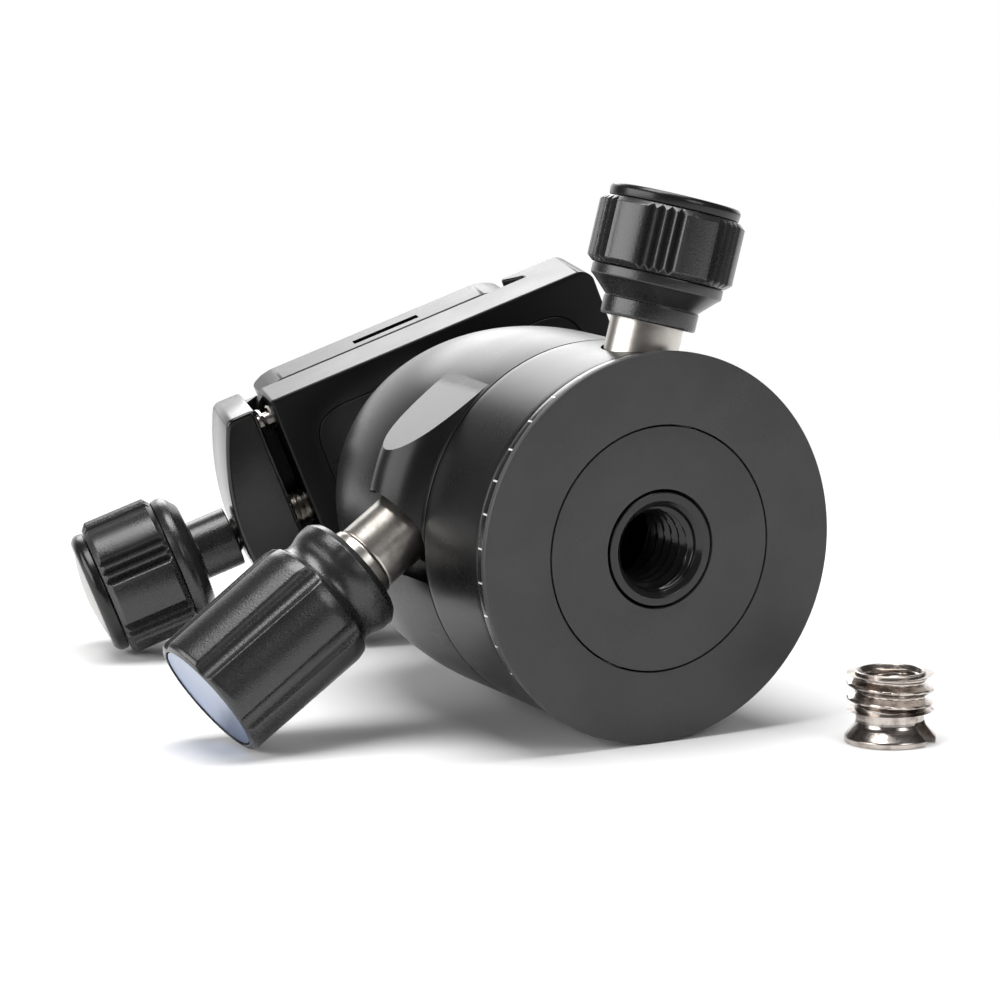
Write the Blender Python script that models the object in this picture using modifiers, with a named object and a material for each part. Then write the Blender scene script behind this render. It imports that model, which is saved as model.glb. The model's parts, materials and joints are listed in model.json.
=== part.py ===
"""Small tripod ball head lying on its side, with a quick release clamp and a loose thread bush.

The head is modelled upright, base face at z = 0 and pan axis along +Z, and an empty lays it
on its side.  Lengths are metres, written as millimetres times MM.  A station is a distance
along a turned piece's own axis.
"""
import math

import bmesh
import bpy
from mathutils import Vector

MM = 0.001
GAP = 0.3 * MM            # between neighbours that touch or are cut for each other
FIT = 0.15 * MM           # between turned pieces that run in or on each other

# Outer diameters, all told from the housing's
HOUSING_RADIUS = 21.0 * MM
BASE_OVERHANG = 0.5 * MM
RING_OVERHANG = 0.2 * MM
DEGREE_RING_WALL = 1.6 * MM
BASE_RADIUS = HOUSING_RADIUS + BASE_OVERHANG
DEGREE_RING_RADIUS = HOUSING_RADIUS + RING_OVERHANG
BASE_STEP_RADIUS = DEGREE_RING_RADIUS - DEGREE_RING_WALL - GAP

# Base
BASE_RIM = 0.9 * MM
BASE_THICKNESS = 2.4 * MM
BASE_CHAMFER = 0.25 * MM
SPINDLE_FLANGE_RADIUS = 13.35 * MM
SPINDLE_NECK_RADIUS = 9.6 * MM
SPINDLE_TOP = 11.6 * MM
THREAD_RADIUS = 4.76 * MM          # 3/8 inch, 16 turns to the inch
THREAD_DEPTH = 0.6 * MM
THREAD_PITCH = 1.5875 * MM
INSERT_RADIUS = 6.25 * MM
INSERT_LENGTH = 10.5 * MM
INSERT_CHAMFER = 0.8 * MM
DEGREE_RING_HEIGHT = 1.1 * MM
WASHER_INNER = 10.4 * MM
WASHER_OUTER = 14.5 * MM
WASHER_THICKNESS = 0.7 * MM
RETAINER_RADIUS = 11.8 * MM
RETAINER_THICKNESS = 1.4 * MM
RETAINER_SCREWS = 3
SCREW_RADIUS = 1.1 * MM            # small fixing screws
SCREW_HEAD_RADIUS = 1.6 * MM
SCREW_HEAD_HEIGHT = 0.6 * MM
SCREW_GRIP = 4.0 * MM

# Housings
SEAM_STATION = 15.0 * MM           # joint between the pan housing and the main housing
DOME_START = 26.0 * MM
DOME_LENGTH = 33.8 * MM            # half axis of the elliptical dome
MOUTH_STATION = 52.0 * MM
CAVITY_RADIUS = 14.6 * MM
EDGE_CHAMFER = 0.35 * MM
JOINING_SCREW_CIRCLE = 17.2 * MM
JOINING_SCREW_ANGLES = (330, 30, 90)
JOINING_SCREW_TIP = 20.0 * MM
JOINING_SCREW_SEAT = 9.2 * MM

# Ball and seats
BALL_RADIUS = 13.5 * MM
BALL_STATION = 44.65 * MM
LINER_WALL = 0.75 * MM
CUP_BOTTOM = 29.2 * MM
CUP_LIP_RADIUS = 12.2 * MM
CUP_EYE_RADIUS = 4.0 * MM

# Lock screw of the ball: its axis passes the pan axis at LOCK_OFFSET
LOCK_AZIMUTH = math.radians(144.45)
LOCK_OFFSET = 12.6 * MM
LOCK_STATION = 21.3 * MM
LOCK_SCREW_RADIUS = 4.2 * MM
LOCK_BOSS_END = 16.6 * MM          # end face of the boss; lock stations run outwards
LOCK_MOUTH_RADIUS = 5.3 * MM
LOCK_MOUTH_FLOOR = 11.0 * MM
LOCK_BORE_END = -8.5 * MM
LOCK_SCREW_TIP = 3.0 * MM
LOCK_WEDGE_END = -7.0 * MM
LOCK_SHOULDER = 22.35 * MM
LOCK_SPIGOT_RADIUS = 2.6 * MM
LOCK_NECK_START = 23.6 * MM
LOCK_WAIST = 26.7 * MM
LOCK_GRIP_START = 29.2 * MM
LOCK_GRIP_END = 45.4 * MM
LOCK_COLLAR_RADIUS = 7.0 * MM
LOCK_GRIP_RADIUS = 7.75 * MM
LOCK_FLUTES = 6
LOCK_FLUTE_PHASE = math.radians(44)
LOCK_FLUTE_RADIUS = 2.6 * MM
LOCK_FLUTE_DEPTH = 0.75 * MM
LOCK_CAP_RADIUS = 6.5 * MM
LOCK_CAP_THICKNESS = 0.8 * MM
BELT_RADIUS = 5.25 * MM            # the boss is cut from a rounded belt round the housing
BELT_CENTRE_RADIUS = 19.35 * MM
BELT_STATION = 20.95 * MM

# Pan lock screw; its stations run outwards too
PAN_AZIMUTH = math.radians(-75.2)
PAN_OFFSET = -3.3 * MM
PAN_STATION = 8.0 * MM
PAN_SCREW_RADIUS = 4.05 * MM
PAN_SCREW_TIP = 14.4 * MM
PAN_SPIGOT_RADIUS = 2.2 * MM
PAN_NECK_START = 23.5 * MM
PAN_COLLAR_END = 25.5 * MM
PAN_SKIRT_START = 27.6 * MM
PAN_GRIP_START = 28.8 * MM
PAN_GRIP_END = 36.2 * MM
PAN_CAP_END = 37.6 * MM
PAN_COLLAR_RADIUS = 5.3 * MM
PAN_SKIRT_RADIUS = 7.3 * MM
PAN_GRIP_RADIUS = 8.1 * MM
PAN_CAP_RADIUS = 7.3 * MM
PAN_GRIP_PHASE = math.radians(24)
SHOE_RADIUS = 2.4 * MM
SHOE_CLEARANCE = 0.35 * MM

# Clamp; heights run from the ball's centre along the stem
STEM_RADIUS = 5.6 * MM
STEM_FLANGE_RADIUS = 6.6 * MM
CLAMP_BOTTOM = 16.6 * MM
PLATE_WIDTH = 38.0 * MM            # over the foot of the dovetail
JAW_GAP = 2.2 * MM                 # between the clamp body and the movable jaw
JAW_CLEARANCE = 0.1 * MM           # between the movable jaw and the plate
JAW_STATION = PLATE_WIDTH / 2 + JAW_CLEARANCE
FIXED_JAW_WIDTH = 6.8 * MM
CLAMP_LEFT = JAW_GAP - JAW_STATION
CLAMP_RIGHT = PLATE_WIDTH / 2 + GAP + FIXED_JAW_WIDTH
CLAMP_HALF_LENGTH = 15.3 * MM
CLAMP_FLOOR = 9.4 * MM             # thickness of the clamp under the plate
CLAMP_LIP_HEIGHT = 13.9 * MM       # height of the fixed jaw over the underside
CLAMP_CORNER = 2.5 * MM
FIXING_SCREW_RADIUS = 2.5 * MM
FIXING_HEAD_RADIUS = 4.2 * MM
FIXING_HEAD_HEIGHT = 2.1 * MM
SPIGOT_RADIUS = 4.0 * MM
SPIGOT_HEIGHT = 1.8 * MM
JAW_HEIGHT = 12.9 * MM
JAW_WIDTH = 7.3 * MM
JAW_END_WIDTH = 3.6 * MM
JAW_NOSE_MARGIN = 1.2 * MM         # from the end of the jaw to its nose
PLATE_FLANK = 2.2 * MM
PLATE_FOOT = 0.8 * MM
PLATE_THICKNESS = 8.2 * MM
PLATE_SLOT_DEPTH = 2.0 * MM
PLATE_SLOT_LOW = 2.4 * MM          # above the plate's underside
PLATE_SLOT_HEIGHT = 1.0 * MM
PLATE_SLOT_LEFT = -3.3 * MM
PLATE_SLOT_RIGHT = 5.3 * MM
PAD_THICKNESS = 0.9 * MM
PAD_MARGIN = 2.2 * MM
CAMERA_SCREW_RADIUS = 3.1 * MM
CAMERA_SCREW_REACH = 4.8 * MM
CAMERA_HEAD_RADIUS = 6.4 * MM

# Clamp screw and knob; its stations run outwards from the stem's axis
KNOB_AXIS_HEIGHT = 6.45 * MM       # over the clamp's underside
CLAMP_SCREW_RADIUS = 2.2 * MM
CLAMP_SCREW_END = 6.5 * MM
GUIDE_PIN_RADIUS = 0.9 * MM
GUIDE_PIN_OFFSET = 12.0 * MM
GUIDE_PIN_START = 11.0 * MM
SPRING_WIRE = 0.22 * MM
SPRING_TURNS = 4
SPRING_POCKET = 4.0 * MM
KNOB_CLEARANCE = 0.5 * MM          # between the jaw's bowed side and the knob
CLAMP_TUBE_LENGTH = 5.1 * MM
CLAMP_FLANGE_HEIGHT = 3.0 * MM
CLAMP_GRIP_LENGTH = 9.0 * MM
CLAMP_CAP_HEIGHT = 2.6 * MM
CLAMP_NECK_START = JAW_STATION + JAW_WIDTH + KNOB_CLEARANCE
CLAMP_FLANGE_START = CLAMP_NECK_START + CLAMP_TUBE_LENGTH
CLAMP_GRIP_START = CLAMP_FLANGE_START + CLAMP_FLANGE_HEIGHT
CLAMP_GRIP_END = CLAMP_GRIP_START + CLAMP_GRIP_LENGTH
CLAMP_CAP_END = CLAMP_GRIP_END + CLAMP_CAP_HEIGHT
CLAMP_TUBE_RADIUS = 3.75 * MM
CLAMP_FLANGE_RADIUS = 8.0 * MM
CLAMP_GRIP_RADIUS = 8.67 * MM
CLAMP_CAP_RADIUS = 7.7 * MM
CLAMP_DISC_RADIUS = 6.0 * MM
DISC_THICKNESS = 0.6 * MM
CLAMP_GRIP_PHASE = math.radians(27)

# Grooved grips of the pan lock and of the clamp
GRIP_LOBES = 6
GROOVES = 3
GROOVE_ANGLE = math.radians(7.5)
GROOVE_DEPTH = 0.42 * MM
GRIP_CHAMFER = 0.55 * MM
CORE_RADIUS = 4.4 * MM
CORE_LENGTH = 4.0 * MM

# How the clamp and the head lie
TILT_A = math.radians(15.6)
TILT_B = math.radians(1.5)
CLAMP_TURN = math.radians(-21.3)
LYING_PITCH = math.radians(1.34)

# Loose thread bush, 3/8 inch outside and 1/4 inch inside
BUSH_X = 22.3 * MM                 # from the lowest point of the base face
BUSH_Y = -11.2 * MM
BUSH_HEIGHT = 7.8 * MM
BUSH_RIM_RADIUS = 4.05 * MM
BUSH_WAIST_RADIUS = 3.72 * MM
BUSH_CONE_HEIGHT = 1.8 * MM
BUSH_FLANGE_RADIUS = 4.98 * MM
BUSH_FLANGE_THICKNESS = 0.6 * MM
BUSH_BORE_RADIUS = 2.9 * MM
BUSH_CHAMFER = 0.45 * MM
BUSH_FIRST_CREST = 0.75 * MM       # depth of the uppermost crest below the rim
BUSH_RIDGES = 2
BUSH_SLOT_WIDTH = 2.5 * MM
BUSH_SLOT_DEPTH = 2.45 * MM
BUSH_TURN = math.radians(-59.0)

FAR = 80 * MM                      # reach of a cutter that has to pass right through
FINE = 40                          # steps round the large turned pieces
STEPS = 24
COARSE = 12                        # steps round small screws and pins

BLACK = ("black_anodised", (0.030, 0.030, 0.032), 0.42, 1.0)
STEEL = ("turned_steel", (0.56, 0.54, 0.51), 0.30, 1.0)
SILVER = ("silver_disc", (0.78, 0.82, 0.88), 0.28, 1.0)
NYLON = ("white_nylon", (0.72, 0.71, 0.66), 0.55, 0.0)
RUBBER = ("black_rubber", (0.020, 0.020, 0.020), 0.85, 0.0)

parts = None
cutters = None


def start_scene():
    """Empty the file and make the two collections."""
    global parts, cutters
    for thing in list(bpy.data.objects):
        bpy.data.objects.remove(thing, do_unlink=True)
    parts = bpy.data.collections.new("ball_head")
    cutters = bpy.data.collections.new("cutters")
    for group in (parts, cutters):
        bpy.context.scene.collection.children.link(group)


def material(spec):
    """One Principled material for each finish, shared by name."""
    name, colour, rough, metal = spec
    found = bpy.data.materials.get(name)
    if found:
        return found
    made = bpy.data.materials.new(name)
    made.use_nodes = True
    shader = made.node_tree.nodes["Principled BSDF"]
    shader.inputs["Base Color"].default_value = (*colour, 1.0)
    shader.inputs["Roughness"].default_value = rough
    shader.inputs["Metallic"].default_value = metal
    made.diffuse_color = (*colour, 1.0)
    return made


def empty(name, parent=None, place=(0, 0, 0), turn=(0, 0, 0)):
    """An axis or a seat that pieces hang from."""
    seat = bpy.data.objects.new(name, None)
    seat.empty_display_size = 5 * MM
    parts.objects.link(seat)
    seat.parent = parent
    seat.location = place
    seat.rotation_euler = turn
    return seat


def add(name, data, parent, finish=None, place=(0, 0, 0), turn=(0, 0, 0)):
    """Link a mesh or curve as a part, or as a hidden cutter when it has no finish."""
    thing = bpy.data.objects.new(name, data)
    thing.parent = parent
    thing.location = place
    thing.rotation_euler = turn
    if finish is None:
        cutters.objects.link(thing)
        thing.hide_render = True
        thing.display_type = "WIRE"
        return thing
    parts.objects.link(thing)
    data.materials.append(material(finish))
    return thing


def turned(name, profile, parent, finish=None, ring=False, steps=STEPS, **placing):
    """A piece of revolution about its local Z.

    The profile lists (radius, z) down the outer side; a ring's profile goes on up its bore.
    """
    mesh = bpy.data.meshes.new(name)
    count = len(profile)
    edges = [(i, i + 1) for i in range(count - 1)]
    if ring:
        edges.append((count - 1, 0))
    mesh.from_pydata([(r, 0, z) for r, z in profile], edges, [])
    thing = add(name, mesh, parent, finish, **placing)
    screw = thing.modifiers.new("turn", "SCREW")
    screw.axis = "Z"
    screw.steps = steps
    screw.render_steps = steps
    screw.use_merge_vertices = True
    screw.merge_threshold = 0.00001
    screw.use_smooth_shade = True
    return thing


def pin(name, radius, low, high, parent, finish=None, **options):
    """A plain turned pin from z = low to z = high."""
    profile = [(0, high), (radius, high), (radius, low), (0, low)]
    return turned(name, profile, parent, finish, **options)


def ring(name, inner, outer, low, high, parent, finish=None, **options):
    """A plain turned ring from z = low to z = high."""
    section = [(inner, high), (outer, high), (outer, low), (inner, low)]
    return turned(name, section, parent, finish, ring=True, **options)


def slab(name, outline, low, high, parent, finish=None, **placing):
    """A flat outline in local XY made solid from z = low to z = high."""
    area = sum(a[0] * b[1] - b[0] * a[1] for a, b in zip(outline, outline[1:] + outline[:1]))
    points = outline if area > 0 else outline[::-1]
    mesh = bpy.data.meshes.new(name)
    mesh.from_pydata([(x, y, low) for x, y in points], [], [range(len(points))])
    thing = add(name, mesh, parent, finish, **placing)
    thicken = thing.modifiers.new("thickness", "SOLIDIFY")
    thicken.thickness = high - low
    thicken.offset = 1
    return thing


def side_slab(name, outline, half, parent, finish=None):
    """A slab whose outline is in XZ and whose thickness runs along Y, centred."""
    return slab(name, outline, -half, half, parent, finish, turn=(math.pi / 2, 0, 0))


def block(name, low, high, parent, finish=None, bevel=0.0, **placing):
    """A box between two corners, with chamfered edges if bevel is given."""
    shape = bmesh.new()
    bmesh.ops.create_cube(shape, size=1)
    for vertex in shape.verts:
        vertex.co = [l + (h - l) * (c + 0.5) for l, h, c in zip(low, high, vertex.co)]
    mesh = bpy.data.meshes.new(name)
    shape.to_mesh(mesh)
    shape.free()
    thing = add(name, mesh, parent, finish, **placing)
    if bevel:
        rounding = thing.modifiers.new("edges", "BEVEL")
        rounding.width = bevel
        rounding.segments = 1
    return thing


def cut(target, tool, operation="DIFFERENCE"):
    """A Boolean with the exact solver."""
    step = target.modifiers.new(tool.name, "BOOLEAN")
    step.operation = operation
    step.object = tool
    step.solver = "EXACT"


def arc(centre, radius, start, end, count):
    """Points on a circular arc, angles in degrees from the first axis."""
    points = []
    for i in range(count):
        angle = math.radians(start + (end - start) * i / (count - 1))
        points.append((centre[0] + radius * math.cos(angle),
                       centre[1] + radius * math.sin(angle)))
    return points


def sphere_height(radius, reach):
    """Height over its centre of a sphere's surface at this distance from its axis."""
    return math.sqrt(max(radius ** 2 - reach ** 2, 0))


def around(radius, angle, height=0.0):
    """A point at this radius and angle about local Z."""
    return (radius * math.cos(angle), radius * math.sin(angle), height)


def rounded_plan(left, right, half, corner):
    """Rectangle in XY with rounded corners."""
    points = []
    centres = ((right - corner, half - corner, 0), (left + corner, half - corner, 90),
               (left + corner, corner - half, 180), (right - corner, corner - half, 270))
    for x, y, start in centres:
        points += arc((x, y), corner, start, start + 90, 5)
    return points


def grooved_outline(radius, phase):
    """Round outline where smooth lobes alternate with groups of V grooves."""
    points = []
    period = 2 * math.pi / GRIP_LOBES
    half_group = GROOVES * GROOVE_ANGLE / 2
    lobe = period - 2 * half_group
    for group in range(GRIP_LOBES):
        start = phase + group * period - half_group
        for groove in range(GROOVES):
            edge = start + groove * GROOVE_ANGLE
            points.append((radius, edge))
            points.append((radius - GROOVE_DEPTH, edge + GROOVE_ANGLE / 2))
        end = start + GROOVES * GROOVE_ANGLE
        points += [(radius, end + lobe * share) for share in (0, 0.33, 0.67)]
    return [around(r, angle)[:2] for r, angle in points]


def grip_sleeve(name, radius, phase, start, end, parent):
    """Grooved sleeve with chamfered ends and a blind bore for the core."""
    grip = slab(name, grooved_outline(radius, phase), start, end, parent, BLACK)
    chamfer = GRIP_CHAMFER
    envelope = turned(name + "_envelope", [
        (0, end + GAP), (radius - chamfer - GAP, end + GAP), (radius + GAP, end - chamfer),
        (radius + GAP, start + chamfer), (radius - chamfer - GAP, start - GAP),
        (0, start - GAP)], parent, steps=FINE)
    cut(grip, envelope, "INTERSECT")
    cut(grip, pin(name + "_bore", CORE_RADIUS + FIT, start - 2 * GAP, start + CORE_LENGTH + FIT,
                  parent))
    return grip


# ------------------------------------------------------------------ base
def insert_bore(top):
    """Bore of the threaded insert: a chamfer, then ridges at the thread's pitch."""
    inner = [(THREAD_RADIUS + INSERT_CHAMFER, 0)]
    z = INSERT_CHAMFER
    while z + THREAD_PITCH < top:
        inner.append((THREAD_RADIUS, z))
        inner.append((THREAD_RADIUS - THREAD_DEPTH, z + THREAD_PITCH / 2))
        z += THREAD_PITCH
    inner.append((THREAD_RADIUS, z))
    inner.append((THREAD_RADIUS, top))
    return inner


def small_screw(name, low, head_low, parent, place, head_radius=SCREW_HEAD_RADIUS):
    """Fixing screw with its head upwards."""
    top = head_low + SCREW_HEAD_HEIGHT
    return turned(name, [(0, top), (head_radius, top), (head_radius, head_low),
                         (SCREW_RADIUS, head_low), (SCREW_RADIUS, low), (0, low)],
                  parent, STEEL, steps=COARSE, place=place)


def make_base(head):
    """Everything that stays with the tripod."""
    inner = SPINDLE_FLANGE_RADIUS + GAP
    edge = BASE_CHAMFER
    turned("base_disc", [
        (inner, BASE_THICKNESS), (BASE_STEP_RADIUS, BASE_THICKNESS),
        (BASE_STEP_RADIUS, BASE_RIM), (BASE_RADIUS - edge, BASE_RIM),
        (BASE_RADIUS, BASE_RIM - edge), (BASE_RADIUS, edge), (BASE_RADIUS - edge, 0),
        (inner, 0)], head, BLACK, ring=True, steps=FINE)
    ring_low = BASE_RIM + GAP
    ring("degree_ring", BASE_STEP_RADIUS + GAP, DEGREE_RING_RADIUS, ring_low,
         ring_low + DEGREE_RING_HEIGHT, head, BLACK, steps=FINE)
    bore = INSERT_RADIUS + GAP
    spindle = turned("pan_spindle", [
        (bore, SPINDLE_TOP), (SPINDLE_NECK_RADIUS, SPINDLE_TOP),
        (SPINDLE_NECK_RADIUS, BASE_THICKNESS), (SPINDLE_FLANGE_RADIUS, BASE_THICKNESS),
        (SPINDLE_FLANGE_RADIUS, 0), (bore, 0)], head, BLACK, ring=True, steps=FINE)
    turned("thread_insert", [(INSERT_RADIUS, INSERT_LENGTH), (INSERT_RADIUS, 0)]
           + insert_bore(INSERT_LENGTH), head, STEEL, ring=True)
    washer_low = BASE_THICKNESS + FIT
    ring("thrust_washer", WASHER_INNER, WASHER_OUTER, washer_low, washer_low + WASHER_THICKNESS,
         head, NYLON)
    plate_low = SPINDLE_TOP + GAP
    plate_high = plate_low + RETAINER_THICKNESS
    retainer = ring("retaining_plate", INSERT_RADIUS, RETAINER_RADIUS, plate_low, plate_high,
                    head, STEEL)
    screw_circle = (bore + SPINDLE_NECK_RADIUS) / 2
    screw_low = SPINDLE_TOP - SCREW_GRIP
    for number in range(1, RETAINER_SCREWS + 1):
        place = around(screw_circle, 2 * math.pi * number / RETAINER_SCREWS)
        small_screw(f"retaining_screw_{number}", screw_low, plate_high + FIT, head, place)
        hole = pin(f"retaining_hole_{number}", SCREW_RADIUS + FIT, screw_low - FIT,
                   plate_high + GAP, head, steps=COARSE, place=place)
        cut(spindle, hole)
        cut(retainer, hole)


# -------------------------------------------------------------- housings
def side_axis(name, parent, azimuth, offset, station):
    """Seat on a lock screw's axis; its local Z points out of the housing."""
    side = Vector((-math.sin(azimuth), math.cos(azimuth))) * offset
    return empty(name, parent, (side.x, side.y, station), (0, math.pi / 2, azimuth))


def dome_radius(z):
    """Outer radius of the main housing: a barrel that runs into an elliptical dome."""
    share = max(z - DOME_START, 0) / DOME_LENGTH
    return HOUSING_RADIUS * math.sqrt(1 - share ** 2)


def main_profile():
    """Section of the main housing, down the outside and up the cavity to the mouth."""
    count = 9
    rise = MOUTH_STATION - DOME_START
    outer = []
    for i in range(count + 1):
        z = MOUTH_STATION - rise * i / count
        outer.append((dome_radius(z), z))
    low = SEAM_STATION + GAP
    outer += [(HOUSING_RADIUS, low + EDGE_CHAMFER), (HOUSING_RADIUS - EDGE_CHAMFER, low),
              (CAVITY_RADIUS, low), (CAVITY_RADIUS, BALL_STATION)]
    steps = 5
    for i in range(1, steps + 1):
        z = (MOUTH_STATION - BALL_STATION) * i / steps
        outer.append((sphere_height(CAVITY_RADIUS, z), BALL_STATION + z))
    return outer


def boss_belt(pan, lock):
    """Rounded belt trimmed to a boss by the tangent flat and by its end face."""
    nose = arc((BELT_CENTRE_RADIUS, BELT_STATION), BELT_RADIUS, 85, -85, 11)
    inner = HOUSING_RADIUS - 3 * MM
    profile = [(inner, nose[0][1])] + nose + [(inner, nose[-1][1])]
    belt = turned("boss_belt", profile, pan, ring=True, steps=2 * FINE)
    edge = 0.5 * MM
    middle = LOCK_OFFSET
    trim = block("boss_trim", (-FAR, -middle / 2, edge),
                 (FAR, HOUSING_RADIUS - middle, LOCK_BOSS_END), lock)
    cut(belt, trim, "INTERSECT")
    return belt


def make_housings(pan, lock, pan_lock):
    """The two turned housings and the screws that join them."""
    low = BASE_RIM + GAP + DEGREE_RING_HEIGHT + GAP
    washer_top = BASE_THICKNESS + FIT + WASHER_THICKNESS + FIT
    bore = SPINDLE_NECK_RADIUS + FIT
    edge = EDGE_CHAMFER
    collar = RETAINER_RADIUS + GAP
    recess = WASHER_OUTER + GAP
    lower = turned("pan_housing", [
        (collar, SEAM_STATION), (HOUSING_RADIUS - edge, SEAM_STATION),
        (HOUSING_RADIUS, SEAM_STATION - edge), (HOUSING_RADIUS, low + edge),
        (HOUSING_RADIUS - edge, low), (recess, low), (recess, washer_top),
        (bore, washer_top), (bore, SPINDLE_TOP), (collar, SPINDLE_TOP)],
        pan, BLACK, ring=True, steps=FINE)
    cut(lower, pin("pan_screw_hole", PAN_SCREW_RADIUS + GAP, PAN_SCREW_TIP - GAP, FAR, pan_lock))
    cut(lower, pin("pan_shoe_hole", SHOE_RADIUS + FIT, bore / 2, PAN_SCREW_TIP, pan_lock,
                   steps=COARSE))

    upper = turned("main_housing", main_profile(), pan, BLACK, ring=True, steps=FINE)
    cut(upper, boss_belt(pan, lock), "UNION")
    cut(upper, pin("lock_bore", LOCK_SCREW_RADIUS + GAP, LOCK_BORE_END, FAR, lock))
    cut(upper, pin("lock_mouth", LOCK_MOUTH_RADIUS, LOCK_MOUTH_FLOOR, FAR, lock))
    head_high = JOINING_SCREW_SEAT
    for number, degrees in enumerate(JOINING_SCREW_ANGLES, 1):
        place = around(JOINING_SCREW_CIRCLE, math.radians(degrees))
        head_low = head_high - 2 * SCREW_HEAD_HEIGHT
        turned(f"joining_screw_{number}", [
            (0, JOINING_SCREW_TIP), (SCREW_RADIUS, JOINING_SCREW_TIP), (SCREW_RADIUS, head_high),
            (SCREW_HEAD_RADIUS, head_high), (SCREW_HEAD_RADIUS, head_low), (0, head_low)],
            pan, STEEL, steps=COARSE, place=place)
        hole = pin(f"joining_hole_{number}", SCREW_RADIUS + FIT, head_low,
                   JOINING_SCREW_TIP + FIT, pan, steps=COARSE, place=place)
        cut(lower, hole)
        cut(upper, hole)
        cut(lower, pin(f"joining_counterbore_{number}", SCREW_HEAD_RADIUS + FIT, 0,
                       head_high + FIT, pan, steps=COARSE, place=place))


# ------------------------------------------------------------ ball seats
def make_ball(pan, lock, tilt_a):
    """Ball, its seats, the guide block under them and the wedge in the block."""
    shape = bmesh.new()
    bmesh.ops.create_uvsphere(shape, u_segments=STEPS, v_segments=STEPS // 2 + 2, radius=BALL_RADIUS)
    mesh = bpy.data.meshes.new("ball")
    shape.to_mesh(mesh)
    shape.free()
    mesh.shade_smooth()
    add("ball", mesh, tilt_a, STEEL)

    seat = BALL_RADIUS + FIT
    outer = seat + LINER_WALL
    high = MOUTH_STATION - BALL_STATION - GAP
    low = 1.0 * MM
    heights = [high + (low - high) * i / 5 for i in range(6)]
    section = [(sphere_height(outer, z), BALL_STATION + z) for z in heights]
    section += [(sphere_height(seat, z), BALL_STATION + z) for z in heights[::-1]]
    turned("upper_liner", section, pan, NYLON, ring=True)

    wall = CAVITY_RADIUS - GAP
    reaches = [CUP_EYE_RADIUS + (CUP_LIP_RADIUS - CUP_EYE_RADIUS) * i / 5 for i in range(6)]
    hollow = [(reach, BALL_STATION - sphere_height(seat, reach)) for reach in reaches]
    turned("ball_cup", [(wall, hollow[-1][1]), (wall, CUP_BOTTOM), (CUP_EYE_RADIUS, CUP_BOTTOM)]
           + hollow, pan, NYLON, ring=True)

    guide = pin("guide_block", wall, SEAM_STATION + GAP, CUP_BOTTOM - GAP, pan, BLACK)
    cut(guide, pin("guide_bore", LOCK_SCREW_RADIUS + GAP, -FAR, FAR, lock))
    wedge_top = LOCK_SCREW_TIP - GAP
    nose = 2.2 * MM
    turned("lock_wedge", [(0, wedge_top), (LOCK_SCREW_RADIUS, wedge_top), (LOCK_SCREW_RADIUS,
                          -2 * MM), (nose, LOCK_WEDGE_END), (0, LOCK_WEDGE_END)], lock, STEEL)


# ----------------------------------------------------------------- knobs
def make_ball_lock(lock):
    """Long fluted knob with its screw, sleeve and end disc."""
    spigot_end = LOCK_GRIP_START + CORE_LENGTH
    point = 1.0 * MM
    turned("ball_lock_screw", [
        (0, spigot_end), (LOCK_SPIGOT_RADIUS, spigot_end), (LOCK_SPIGOT_RADIUS, LOCK_SHOULDER),
        (LOCK_SCREW_RADIUS, LOCK_SHOULDER), (LOCK_SCREW_RADIUS, LOCK_SCREW_TIP + point),
        (LOCK_SCREW_RADIUS - point, LOCK_SCREW_TIP), (0, LOCK_SCREW_TIP)], lock, STEEL)
    bore = LOCK_SPIGOT_RADIUS + FIT
    sleeve = LOCK_SCREW_RADIUS - 0.2 * MM
    sleeve_end = LOCK_NECK_START + 0.8 * MM
    ring("ball_lock_sleeve", bore, sleeve, LOCK_SHOULDER + FIT, sleeve_end, lock, STEEL)
    collar = LOCK_COLLAR_RADIUS
    radius = LOCK_GRIP_RADIUS
    end_radius = radius - 0.15 * MM
    chamfer = GRIP_CHAMFER
    floor = LOCK_GRIP_END - LOCK_CAP_THICKNESS - 2 * FIT
    grip = turned("ball_lock_grip", [
        (0, floor), (LOCK_CAP_RADIUS + FIT, floor), (LOCK_CAP_RADIUS + FIT, LOCK_GRIP_END),
        (end_radius - chamfer, LOCK_GRIP_END), (end_radius, LOCK_GRIP_END - chamfer),
        (radius, LOCK_GRIP_START), (radius - 0.25 * MM, LOCK_GRIP_START - 0.9 * MM),
        (collar, LOCK_WAIST), (collar, LOCK_WAIST - 1.2 * MM),
        (collar - 0.7 * MM, LOCK_NECK_START), (sleeve + FIT, LOCK_NECK_START),
        (sleeve + FIT, sleeve_end + FIT), (bore, sleeve_end + FIT), (bore, spigot_end + FIT),
        (0, spigot_end + FIT)], lock, BLACK, steps=FINE)
    reach = radius + LOCK_FLUTE_RADIUS - LOCK_FLUTE_DEPTH
    for number in range(LOCK_FLUTES):
        angle = LOCK_FLUTE_PHASE + 2 * math.pi * number / LOCK_FLUTES
        flute = turned(f"lock_flute_{number + 1}", [
            (0, LOCK_GRIP_END + chamfer), (LOCK_FLUTE_RADIUS, LOCK_GRIP_END + chamfer),
            (LOCK_FLUTE_RADIUS, LOCK_GRIP_START + 1.2 * MM),
            (LOCK_FLUTE_RADIUS - LOCK_FLUTE_DEPTH, LOCK_GRIP_START), (0, LOCK_GRIP_START)],
            lock, steps=COARSE, place=around(reach, angle))
        cut(grip, flute)
    pin("ball_lock_cap", LOCK_CAP_RADIUS, floor + FIT, LOCK_GRIP_END - FIT, lock, SILVER)


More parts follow.
